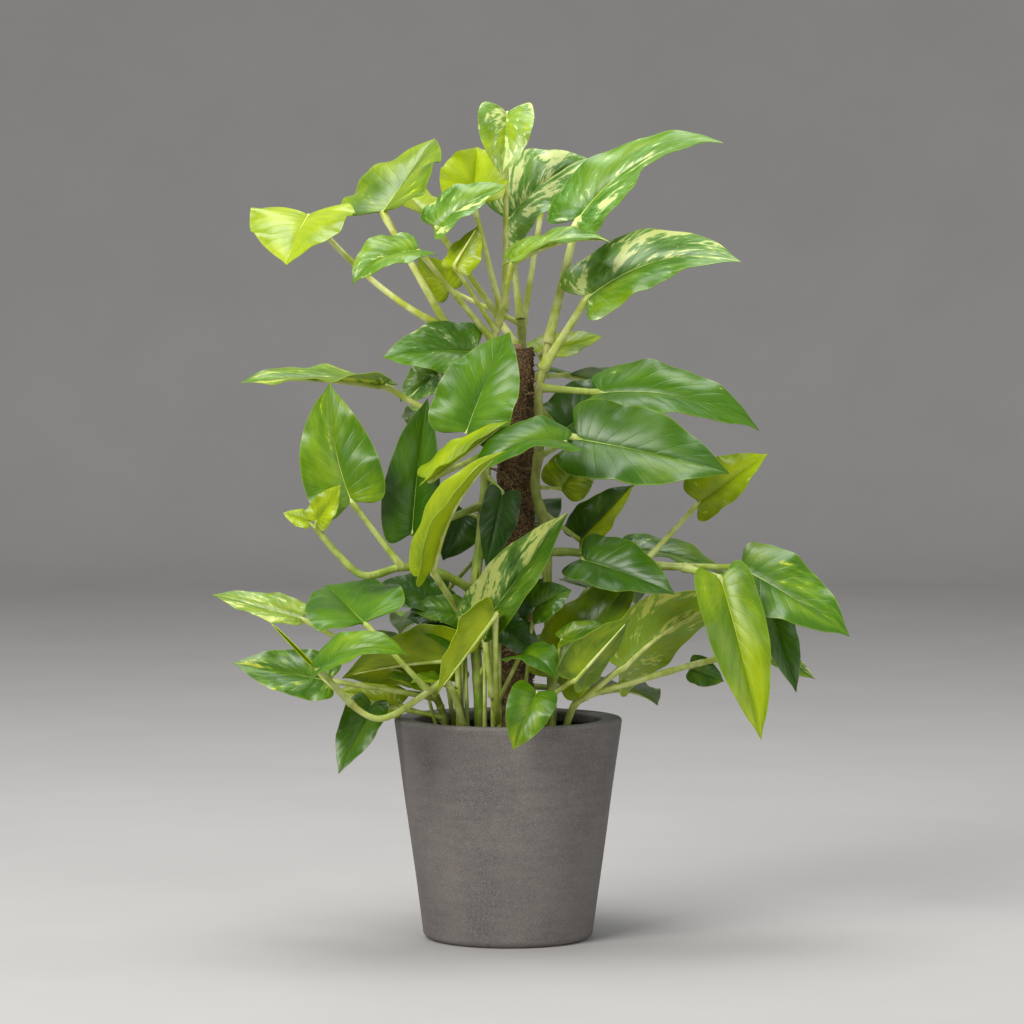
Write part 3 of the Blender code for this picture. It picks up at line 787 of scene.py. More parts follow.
def hand_over(piece: bpy.types.Object, node: Optional[str] = None) -> None:
    """Rides a finished piece on the plant and says what it stands for.

    Args:
        piece: the object.
        node: the CAD node that it replaces, if any.
    """
    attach(piece, "root")
    if node:
        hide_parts(node)
    LOG.info("%s: %d faces", piece.name, len(piece.data.polygons))


def sweep(name: str, routes: Sequence[np.ndarray], widths: Sequence[Sequence[float]], radius: float,
          rounding: int) -> bpy.types.Object:
    """Draws closed round threads along routes.

    Args:
        name: the object's name.
        routes: the points that each thread follows.
        widths: each thread's thickness at its points, as shares of the radius.
        radius: the radius in metres.
        rounding: how finely they are rounded, 0 for four sides.

    Returns:
        The threads as one mesh object.
    """
    Bench.clear()
    bpy.ops.curve.primitive_nurbs_path_add()
    threads = bpy.context.object
    curve = threads.data
    curve.splines.clear()
    curve.bevel_depth = radius
    curve.bevel_resolution = rounding
    curve.use_fill_caps = True
    curve.twist_mode = "MINIMUM"
    for route, shares in zip(routes, widths):
        spline = curve.splines.new("POLY")
        spline.points.add(len(route) - 1)
        for point, place, share in zip(spline.points, route, shares):
            point.co = (*place, 1)
            point.radius = share
    bpy.ops.object.convert(target="MESH")
    threads.name = name
    return threads


@dataclass
class Tube:
    """A round stalk along a route, with its own thickness at each point."""

    name: str
    route: np.ndarray
    radii: np.ndarray
    rounding: int = 3
    batch: int = 400

    def build(self) -> bpy.types.Object:
        """The closed mesh, smooth, with its sides in order along the route.

        Returns:
            The tube's object, with a stalk attribute of (share of its length, 0, 0).
        """
        rod = sweep(self.name, [self.route], [self.radii], 1.0, self.rounding)
        Bench.weld(rod)
        self._mark_length(rod)
        Bench.smooth(rod, 60)
        return rod

    def _mark_length(self, rod: bpy.types.Object) -> None:
        """Stores how far along the route each point of the mesh lies.

        Args:
            rod: the tube's object.
        """
        points = Bench.points(rod)
        steps = np.linalg.norm(np.diff(self.route, axis=0), axis=1)
        lengths = np.concatenate([[0], np.cumsum(steps)])
        nearest = np.empty(len(points))
        for first in range(0, len(points), self.batch):
            some = slice(first, first + self.batch)
            gaps = np.linalg.norm(points[some, None] - self.route[None], axis=2)
            nearest[some] = lengths[np.argmin(gaps, axis=1)] / lengths[-1]
        Bench.mark(rod, "stalk", np.c_[nearest, np.zeros(len(points)), np.zeros(len(points))])


def read_stalk(piece: bpy.types.Object) -> np.ndarray:
    """Reads a stalk's attribute.

    Args:
        piece: the stalk.

    Returns:
        One row for each point: how far along its route it lies, how brown it is and how yellow.
    """
    data = piece.data.attributes["stalk"].data
    flat = np.empty(len(data) * 3)
    data.foreach_get("vector", flat)
    return flat.reshape(-1, 3)


def set_stalk(piece: bpy.types.Object, ring: np.ndarray, lime: np.ndarray) -> None:
    """Stores how brown and how yellow each point of a stalk is.

    Args:
        piece: the stalk.
        ring: how brown each point is, 0 to 1.
        lime: how yellow each point is, 0 to 1.
    """
    values = read_stalk(piece)
    values[:, 1], values[:, 2] = ring, lime
    piece.data.attributes["stalk"].data.foreach_set("vector", values.ravel())


# ---------------------------------------------------------------------------------------------
# The plant's leaves and vines, as they are placed
# ---------------------------------------------------------------------------------------------


@dataclass(frozen=True)
class Tone:
    """A blade's colouring: each number runs from 0 to 1.

    lime and lime_tip are how yellow it is at its stalk and tip, cream_left and cream_right how much of each
    half is streaked with cream, depth how dark its green is, and white how pale the cream is. split makes
    the right half more yellow and the left half less.
    """

    lime: float
    lime_tip: float
    cream_left: float = 0.0
    cream_right: float = 0.0
    depth: float = 0.3
    white: float = 0.3
    split: float = 0.0


@dataclass(frozen=True)
class Leaf:
    """One leaf: a blade from base to tip, and the stalk that carries it from a node of its vine.

    A leaf with a foot rises straight from the soil there, though it belongs to its vine's piece.
    """

    name: str
    vine: str
    node: float
    base: Point
    tip: Point
    face: Point
    width: float
    arch: float = 0.0
    fold: float = 12.0
    lift: float = 0.0
    sway: float = 0.0
    twist: float = 0.0
    tone: Tone = Tone(0.2, 0.3)
    foot: Optional[Point] = None

    @property
    def stem(self) -> int:
        """Which of its vine's stems bears it: the tens of its node."""
        return int(self.node // 10)

    @property
    def spot(self) -> float:
        """Its place among that stem's nodes: the rest of its node."""
        return self.node % 10


VINES: dict[str, list[list[Point]]] = {
    "left_climber": [
        [(-26, -36, -31), (-29, -38, 40), (-33, -38, 110), (-26, -34, 177), (-22, -30, 225),
         (-20, -27, 275), (-19, -24, 320), (-17, -20, 350), (-11, -14, 374), (-3, -12, 394)],
        [(-19, -24, 322), (-34, -24, 345), (-50, -23, 364), (-66, -21, 378)],
        [(-31, -38, 122), (-48, -52, 134), (-72, -66, 145), (-100, -80, 149), (-135, -95, 142),
         (-160, -101, 163), (-180, -106, 188)],
    ],
    "right_climber": [
        [(40, -24, -31), (42, -22, 40), (38, -20, 110), (36, -18, 181), (26, -30, 223),
         (31, -26, 270), (29, -24, 311), (35, -12, 342), (39, -6, 362)],
        [(37, -18, 160), (66, -22, 160), (105, -30, 152), (142, -40, 148), (168, -48, 147)],
    ],
    "back_climber": [
        [(12, 38, -31), (14, 34, 60), (8, 31, 140), (0, 31, 220), (10, 32, 300), (14, 29, 350),
         (12, 24, 384)],
    ],
    "left_runner": [
        [(-38, -56, -31), (-46, -74, 12), (-58, -92, 42), (-74, -112, 34), (-121, -148, 12),
         (-165, -148, 45), (-181, -136, 62)],
    ],
    "right_runner": [
        [(52, -46, -31), (58, -66, 6), (72, -82, 26), (123, -70, 41), (174, -40, 53),
         (215, -10, 62), (245, 8, 85)],
    ],
    "front_shoot": [[(-10, -50, -31), (-10, -60, 0), (-14, -68, 26)]],
    "corner_shoot": [[(24, -56, -31), (28, -72, 4), (31, -88, 22)]],
    "left_shoot": [[(-56, -30, -31), (-62, -36, 6), (-74, -44, 30)]],
    "back_shoot": [[(10, 58, -31), (14, 76, 16), (20, 96, 46)]],
}

LEAVES: list[Leaf] = [
    # The crown.
    Leaf("crown_leaf", "left_climber", 9, (-1, -12, 581), (-6, -38, 519), (0, -0.95, 0.3), 60, 5, 25,
         tone=Tone(0.35, 0.85, 0.75, 0.75, 0.0, 0.9)),
    Leaf("upper_left_leaf", "left_climber", 12.2, (-120, -20, 486), (-72, 55, 562), (-0.45, -0.44, 0.78), 104,
         tone=Tone(0.42, 0.50, 0.30, 0.42, 0.40, 0.0)),
    Leaf("cupped_leaf", "left_climber", 8.6, (-33, -25, 493), (-30, 20, 551), (0, -0.8, 0.6), 78, 0, 32,
         tone=Tone(0.95, 0.95, 0.2, 0.3, 0.0, 0.0)),
    Leaf("crown_front_leaf", "left_climber", 8.4, (-68, -66, 470), (-1, -62, 509), (-0.3, -0.6, 0.75), 58, 6,
         tone=Tone(0.25, 0.3, 0.6, 0.65, 0.0, 0.8)),
    Leaf("crown_low_leaf", "left_climber", 7.5, (-84, -92, 447), (-145, -125, 415), (-0.35, -0.7, 0.6), 56,
         12, tone=Tone(0.30, 0.3, 0.5, 0.5, 0.0, 0.8)),
    Leaf("far_left_leaf", "left_climber", 13, (-191, -20, 483), (-208, -85, 434), (-0.15, -0.6, 0.72), 104,
         4, 10, lift=-22, tone=Tone(0.95, 0.90, 0.30, 0.10, 0.0, 0.1)),
    Leaf("crown_back_leaf", "back_climber", 6, (0, 60, 482), (77, 36, 541), (-0.3, -0.75, 0.6), 95, 10,
         tone=Tone(0.25, 0.25, 0.75, 0.8, 0.0, 1.0)),
    Leaf("upper_right_leaf", "right_climber", 8, (66, -28, 478), (203, -60, 552), (-0.35, -0.75, 0.55), 76,
         0, 10, sway=-28, twist=-35, tone=Tone(0.2, 0.35, 0.60, 0.7, 0.0, 1.0)),
    Leaf("right_marbled_leaf", "right_climber", 6.8, (76, -44, 404), (219, -76, 437), (-0.1, -0.75, 0.65), 78,
         4, 12, sway=-22, tone=Tone(0.45, 0.15, 0.8, 0.6, 0.15, 0.85)),
    Leaf("crown_right_leaf", "left_climber", 8.2, (5, -70, 438), (97, -80, 456), (0.05, -0.3, 0.95), 60, 10,
         tone=Tone(0.6, 0.3, 0.6, 0.6, 0.1, 0.7)),
    Leaf("small_right_leaf", "right_climber", 7.5, (30, 40, 350), (93, 65, 369), (0.1, -0.5, 0.85), 46,
         tone=Tone(0.7, 0.6, 0.15, 0.1, 0.1, 0.3)),
    # The middle.
    Leaf("front_leaf", "left_climber", 5.2, (-39, -92, 277), (2, -68, 371), (-0.25, -0.92, 0.3), 84, 6, 10,
         tone=Tone(0.12, 0.1, 0.08, 0.03, 0.05, 0.8)),
    # Its whiter cream streaks and lighter green are partly its own marbling and partly a painted sheen.
    Leaf("behind_front_leaf", "left_climber", 6.6, (-32, -34, 352), (-120, -38, 347), (-0.05, -0.8, 0.6), 64,
         6, tone=Tone(0.1, 0.2, 0.42, 0.55, 0.0, 1.0)),
    Leaf("lime_blade_leaf", "left_climber", 4.6, (-74, -102, 232), (0, -120, 288), (-0.35, -0.35, 0.85), 46,
         0, 25, tone=Tone(0.75, 0.65, 0.4, 0.2, 0.2, 0.1)),
    Leaf("folded_lime_leaf", "left_climber", 1.6, (-71, -128, 149), (-4, -168, 262), (-0.75, -0.45, 0.45), 50,
         14, 50, tone=Tone(0.75, 0.85, 0.02, 0.02, 0.0, 0.1)),
    # Its dark green is its own, lightened by a lower depth as a painted sheen.
    Leaf("dark_upright_leaf", "left_climber", 3.6, (-91, -60, 180), (-77, -42, 309), (-0.25, -0.95, 0.1), 64,
         5, 28, tone=Tone(0.05, 0.1, 0.0, 0.02, 0.65, 0.4)),
    Leaf("left_upright_leaf", "left_climber", 23, (-147, -88, 211), (-168, -72, 323), (0, -0.97, 0.2), 77, 0,
         8, sway=-6, tone=Tone(0.35, 0.30, 0.45, 0.05, 0.0, 0.0)),
    Leaf("left_level_leaf", "left_climber", 5, (-119, -32, 321), (-256, -22, 325), (0, 0.1, 0.98), 80, 4,
         8, lift=-10, twist=-35, tone=Tone(0.6, 0.35, 0.7, 0.7, 0.3, 0.3)),
    Leaf("arching_leaf", "right_climber", 4.6, (54, -122, 268), (-43, -126, 222), (-0.1, -0.5, 0.85), 58, 23,
         tone=Tone(0.1, 0.25, 0.0, 0.02, 0.4, 0.4)),
    Leaf("big_dark_leaf", "right_climber", 5.3, (66, -72, 270), (207, -110, 239), (0.15, -0.85, 0.5), 92,
         4, 8, tone=Tone(0.05, 0.15, 0.03, 0.12, 0.6, 0.5, 0.1)),
    Leaf("right_arched_leaf", "right_climber", 6.2, (88, -20, 313), (240, -50, 279), (0.15, -0.65, 0.75), 80,
         18, 8, tone=Tone(0.10, 0.15, 0.3, 0.4, 0.15, 0.8)),
    Leaf("right_hidden_leaf", "right_climber", 5.7, (51, 4, 276), (128, 24, 330), (-0.4, -0.8, 0.4), 74,
         tone=Tone(0.05, 0.1, 0.04, 0.04, 0.8, 0.4)),
    Leaf("pole_right_leaf", "right_climber", 4, (51, 40, 219), (82, 50, 262), (0, -0.95, 0.3), 52,
         tone=Tone(0.75, 0.6, 0.05, 0.05, 0.3, 0.1)),
    Leaf("two_tone_leaf", "right_climber", 3.4, (70, 40, 169), (122, 30, 224), (-0.6, -0.75, 0.3), 52, 0, 20,
         tone=Tone(0.5, 0.5, 0.0, 0.1, 0.8, 0.1, 0.7)),
    Leaf("raised_lime_leaf", "right_climber", 12.6, (184, -12, 208), (247, -40, 255), (-0.2, -0.85, 0.5), 58,
         0, 18, tone=Tone(0.9, 0.85, 0.5, 0.45, 0.0, 0.1)),
    Leaf("left_shaded_leaf", "left_climber", 3.3, (-41, 20, 197), (-63, 10, 151), (-0.2, -0.95, -0.1), 52,
         tone=Tone(0.1, 0.1, 0.0, 0.0, 0.9)),
    Leaf("pole_front_leaf", "left_climber", 4.2, (-5, -46, 218), (-21, -52, 148), (0.3, -0.9, 0), 40,
         tone=Tone(0.0, 0.05, 0.05, 0.05, 0.9, 0.8)),
    # Around the pot.
    Leaf("cream_leaf", "front_shoot", 2, (-24, -90, 96), (56, -96, 202), (-0.3, -0.85, 0.25), 62, 0, 30,
         tone=Tone(0.3, 0.10, 0.85, 0.45, 0.6, 0.6)),
    Leaf("olive_leaf", "front_shoot", 1, (-12, -132, 109), (-66, -146, 36), (-0.6, 0.5, 0.6), 58, 0, 20,
         lift=-34, tone=Tone(0.75, 0.75, 0.05, 0.05, 0.1, 0.1)),
    Leaf("broad_back_leaf", "corner_shoot", 1, (47, -62, 42), (124, -54, 146), (-0.45, -0.75, 0.45), 88,
         tone=Tone(0.75, 0.4, 0.25, 0.05, 0.3, 0.4)),
    Leaf("front_small_leaf", "front_shoot", 1.5, (11, -102, 66), (46, -134, 46), (0.1, -0.55, 0.85), 46, 12,
         tone=Tone(0.2, 0.2, 0.0, 0.0, 0.25)),
    # Its green is its own, kept darker by a low lime as painted shade for this less lit low leaf.
    Leaf("rim_leaf", "corner_shoot", 1.2, (27, -126, 35), (5, -142, -18), (0, -0.93, 0.35), 46, 8,
         tone=Tone(0.05, 0.45, 0.05, 0.05, 0.25, 0.2)),
    Leaf("front_right_leaf", "corner_shoot", 2, (61, -126, 46), (114, -119, 104), (-0.5, 0.75, 0.35), 54,
         tone=Tone(0.5, 0.4, 0.3, 0.1, 0.5, 0.5)),
    Leaf("broad_lime_leaf", "right_runner", 2, (107, -85, 54), (215, -60, 121), (-0.45, 0.8, 0.4), 86, 12,
         tone=Tone(0.85, 0.85, 0.75, 0.7, 0.0, 0.3)),
    Leaf("right_green_leaf", "right_climber", 11.4, (70, -70, 156), (156, -115, 126), (0.1, -0.8, 0.6), 66, 4,
         tone=Tone(0.05, 0.1, 0.12, 0.04, 0.7, 0.7)),
    Leaf("right_back_leaf", "right_climber", 12, (116, 20, 160), (216, 10, 133), (0.15, -0.35, 0.92), 58, 8,
         tone=Tone(0.3, 0.3, 0.45, 0.3, 0.4, 0.7)),
    # Its green is its own, kept darker by a low lime as painted shade for this less lit low leaf.
    Leaf("far_right_leaf", "right_climber", 13, (222, -40, 147), (323, -80, 85), (0.1, -0.75, 0.65), 82, 3, 6,
         tone=Tone(0.25, 0.15, 0.45, 0.22, 0.30, 0.0)),
    Leaf("hanging_leaf", "right_climber", 14, (201, -78, 138), (237, -115, -11), (0.15, -0.95, 0.1), 62,
         8, 15, tone=Tone(0.35, 0.65, 0.30, 0.30, 0.0, 0.2)),
    Leaf("right_tail_leaf", "right_runner", 6, (252, -10, 108), (277, -25, 26), (0.3, -0.9, 0.3), 38,
         tone=Tone(0.0, 0.1, 0.05, 0.05, 0.6, 0.8)),
    Leaf("left_broad_leaf", "left_runner", 3, (-134, -115, 99), (-174, -45, 131), (-0.1, -0.45, 0.9), 98,
         tone=Tone(0.12, 0.10, 0.04, 0.12, 0.0, 0.3)),
    Leaf("far_low_left_leaf", "left_shoot", 2, (-197, -60, 100), (-283, -30, 121), (-0.15, -0.5, 0.85), 42,
         tone=Tone(0.6, 0.5, 0.6, 0.6, 0.5, 0.5)),
    Leaf("left_arched_leaf", "left_runner", 4.5, (-174, -168, 60), (-90, -182, 73), (0, -0.55, 0.83), 48, 18,
         tone=Tone(0.20, 0.35, 0.04, 0.04, 0.0, 0.2)),
    Leaf("left_marbled_leaf", "left_shoot", 1.6, (-168, -84, 42), (-261, -70, 58), (-0.1, -0.85, 0.5), 52,
         tone=Tone(0.1, 0.15, 0.55, 0.62, 0.35, 0.2)),
    Leaf("left_olive_leaf", "left_shoot", 1.2, (-75, -36, 46), (-160, -8, 76), (-0.3, 0.6, 0.7), 72,
         tone=Tone(0.5, 0.5, 0.1, 0.1, 0.5, 0.1)),
    Leaf("left_drooping_leaf", "left_shoot", 0.9, (-130, -40, 17), (-161, -70, -47), (-0.3, -0.9, 0.3), 44,
         tone=Tone(0.1, 0.2, 0.05, 0.05, 0.6, 0.4)),
]

# These are joined to their vine's piece.
SMALL_LEAVES: list[Leaf] = [
    # Young and half-hidden leaves.
    Leaf("young_leaf_1", "left_climber", 26, (-179, -108, 193), (-156, -114, 228), (-0.3, -0.9, 0.3), 30,
         tone=Tone(0.8, 0.7)),
    Leaf("young_leaf_2", "left_climber", 25.8, (-186, -102, 192), (-211, -97, 201), (0, -0.75, 0.65), 22,
         tone=Tone(0.9, 0.9)),
    Leaf("small_crown_leaf", "left_climber", 7.9, (-50, -80, 432), (-28, -70, 470), (0.6, 0.6, 0.4), 40,
         tone=Tone(0.9, 0.7)),
    Leaf("small_back_leaf", "back_climber", 5.8, (-56, 24, 412), (-88, 14, 446), (-0.3, -0.9, 0.3), 36,
         tone=Tone(0.8, 0.8)),
    Leaf("small_left_leaf", "left_climber", 6.2, (-66, -8, 333), (-104, -12, 305), (-0.3, -0.8, 0.5), 44,
         tone=Tone(0.2, 0.2, 0.7, 0.5, 0.4, 1.0)),
    Leaf("middle_shaded_leaf", "back_climber", 2.6, (-58, 26, 122), (-112, 18, 108), (-0.1, -0.8, 0.6), 46,
         tone=Tone(0.1, 0.1, depth=0.8)),
    Leaf("middle_dark_leaf", "left_climber", 1.3, (-52, -12, 104), (-98, -4, 96), (0, -0.8, 0.6), 46,
         tone=Tone(0.1, 0.1, depth=0.8)),
    Leaf("centre_dark_leaf", "left_climber", 1, (4, -62, 104), (34, -66, 138), (-0.5, -0.8, 0.3), 38,
         tone=Tone(0.1, 0.1, depth=0.9)),
    Leaf("right_edge_leaf", "right_runner", 5.2, (254, 24, 60), (299, 27, 35), (0.1, -0.8, 0.6), 24,
         tone=Tone(0.3, 0.3, 0.8, 0.1, 0.4, 0.8)),
    Leaf("right_low_leaf", "right_runner", 4.2, (176, 0, 47), (209, 8, 34), (0.1, -0.9, 0.4), 32,
         tone=Tone(0.2, 0.2)),
    Leaf("low_left_lime_leaf", "left_shoot", 0.8, (-104, -10, 12), (-166, 2, 26), (-0.1, -0.8, 0.6), 40,
         tone=Tone(0.9, 0.9)),
    # Leaves that rise from the soil between the vines.
    Leaf("centre_low_leaf", "front_shoot", 0, (-8, -74, 94), (32, -80, 62), (0.1, -0.85, 0.5), 38, 5,
         tone=Tone(0.05, 0.05, depth=0.85), foot=(-8, -60, -31)),
    Leaf("centre_round_leaf", "corner_shoot", 0, (24, -82, 110), (60, -90, 128), (0, -0.9, 0.4), 38, 5,
         tone=Tone(0.1, 0.3, depth=0.5), foot=(10, -62, -31)),
    Leaf("narrow_right_leaf", "corner_shoot", 0, (50, -98, 82), (94, -104, 95), (0.0, -0.7, 0.7), 24, 4,
         tone=Tone(0.3, 0.3, 0.1, 0.3, 0.5), foot=(36, -52, -31)),
    Leaf("left_dark_leaf", "left_shoot", 0, (-70, -34, 112), (-124, -28, 130), (-0.1, -0.6, 0.75), 46, 5,
         tone=Tone(0.1, 0.1, depth=0.55), foot=(-48, -20, -31)),
    Leaf("left_middle_leaf", "left_shoot", 0, (-42, -50, 100), (-94, -44, 106), (-0.1, -0.7, 0.7), 38, 6,
         tone=Tone(0.15, 0.15, depth=0.3), foot=(-38, -44, -31)),
    Leaf("left_narrow_leaf", "left_shoot", 0, (-44, -56, 72), (-88, -52, 92), (-0.1, -0.7, 0.7), 28, 4,
         tone=Tone(0.1, 0.1, depth=0.6), foot=(-44, -36, -31)),
    Leaf("left_under_leaf", "left_shoot", 0, (-48, -54, 60), (-158, -62, 44), (-0.1, 0.82, 0.55), 76, 5,
         tone=Tone(0.62, 0.6, 0.1, 0.1, 0.25, 0.1), foot=(-46, -46, -31)),
    Leaf("rolled_young_leaf", "left_runner", 6, (-182, -140, 61), (-222, -122, 100), (-0.3, -0.8, 0.5), 15, 3,
         76, tone=Tone(0.8, 0.9, depth=0.1)),
    Leaf("rolled_front_leaf", "front_shoot", 0, (-22, -78, 104), (-28, -80, 150), (-0.3, -0.9, 0.1), 16,
         2, 70, tone=Tone(0.7, 0.8, depth=0.2), foot=(-22, -56, -31)),
    Leaf("second_rolled_leaf", "front_shoot", 0, (-16, -74, 96), (-6, -76, 134), (0.2, -0.9, 0.1), 15, 2, 70,
         tone=Tone(0.6, 0.7, depth=0.2), foot=(-14, -58, -31)),
    Leaf("low_front_leaf", "left_shoot", 0, (-56, -66, 36), (-92, -86, 40), (-0.1, -0.4, 0.9), 30, 5,
         tone=Tone(0.4, 0.5, depth=0.3), foot=(-32, -50, -31)),
    Leaf("low_left_leaf", "left_shoot", 0, (-78, -46, 30), (-116, -58, 44), (-0.2, -0.5, 0.85), 30, 5,
         tone=Tone(0.3, 0.4, depth=0.3), foot=(-62, -26, -31)),
    # The back of the plant.
    Leaf("back_leaf_1", "back_climber", 4.5, (60, 70, 330), (110, 150, 300), (0.3, 0.5, 0.8), 85, 8,
         tone=Tone(0.2, 0.3, 0.1, 0.2, 0.4)),
    Leaf("back_leaf_2", "back_climber", 4, (-50, 70, 290), (-90, 160, 270), (-0.3, 0.5, 0.8), 85, 8,
         tone=Tone(0.3, 0.4, 0.4, 0.2, 0.3, 0.5)),
    Leaf("back_leaf_3", "back_climber", 3, (10, 80, 200), (20, 175, 150), (0, 0.6, 0.8), 85, 8,
         tone=Tone(0.1, 0.2, 0.1, 0.1, 0.6)),
    Leaf("back_leaf_4", "back_shoot", 2, (80, 80, 120), (130, 160, 100), (0.3, 0.4, 0.8), 80, 8,
         tone=Tone(0.3, 0.3, 0.2, 0.3, 0.4, 0.5)),
    Leaf("back_leaf_5", "back_shoot", 2, (-60, 80, 90), (-110, 160, 70), (-0.3, 0.4, 0.8), 80, 8,
         tone=Tone(0.2, 0.4, 0.1, 0.1, 0.4)),
    Leaf("back_leaf_6", "back_shoot", 2, (0, 120, 60), (10, 200, 20), (0, 0.5, 0.8), 75, 8,
         tone=Tone(0.5, 0.6, 0.1, 0.1, 0.2)),
    Leaf("back_leaf_7", "back_climber", 5.5, (34, 100, 500), (60, 175, 515), (0.1, 0.25, 0.97), 72, 8,
         tone=Tone(0.6, 0.8, 0.5, 0.5, 0.2, 0.5)),
    Leaf("back_leaf_8", "back_climber", 5, (-80, 85, 488), (-130, 150, 520), (-0.1, 0.3, 0.9), 72, 8,
         tone=Tone(0.9, 1.0, 0.3, 0.1, 0.1, 0.2)),
    Leaf("back_leaf_9", "back_shoot", 1.2, (90, 60, 20), (150, 130, 0), (0.3, 0.3, 0.9), 70, 8,
         tone=Tone(0.2, 0.3, 0.1, 0.1, 0.5)),
]


# ---------------------------------------------------------------------------------------------
# Routes and blades
# ---------------------------------------------------------------------------------------------


def unit(vectors: np.ndarray) -> np.ndarray:
    """The same vectors with a length of 1."""
    return vectors / np.linalg.norm(vectors, axis=-1, keepdims=True)


def hill(value: np.ndarray, middle: float, spread: float) -> np.ndarray:
    """A smooth hill of height 1 round a value."""
    return np.exp(-((value - middle) / spread) ** 2)


@dataclass(frozen=True)
class Ground:
    """Turns drawn places into metres above the floor."""

    rim: float

    def place(self, points: Any) -> np.ndarray:
        """Points in millimetres, with z from the rim, as metres with z from the floor."""
        return np.asarray(points, float) * MM + np.array([0, 0, self.rim])

    def along(self, nodes: Sequence[Point], at: Any) -> np.ndarray:
        """Points at fractional node numbers on the smooth curve through a stem's nodes.

        Args:
            nodes: the stem's nodes.
            at: one node number, or an array of them.

        Returns:
            One row for each number.
        """
        spots = np.atleast_1d(np.asarray(at, float))
        knots = self.place(nodes)
        last = len(knots) - 1
        first = np.minimum(spots.astype(int), last - 1)
        t = (spots - first)[:, None]
        a, b, c, d = (knots[np.clip(first + k, 0, last)] for k in (-1, 0, 1, 2))
        curve = 2 * b + (c - a) * t + (2 * a - 5 * b + 4 * c - d) * t ** 2 + (3 * b - a - 3 * c + d) * t ** 3
        return 0.5 * curve


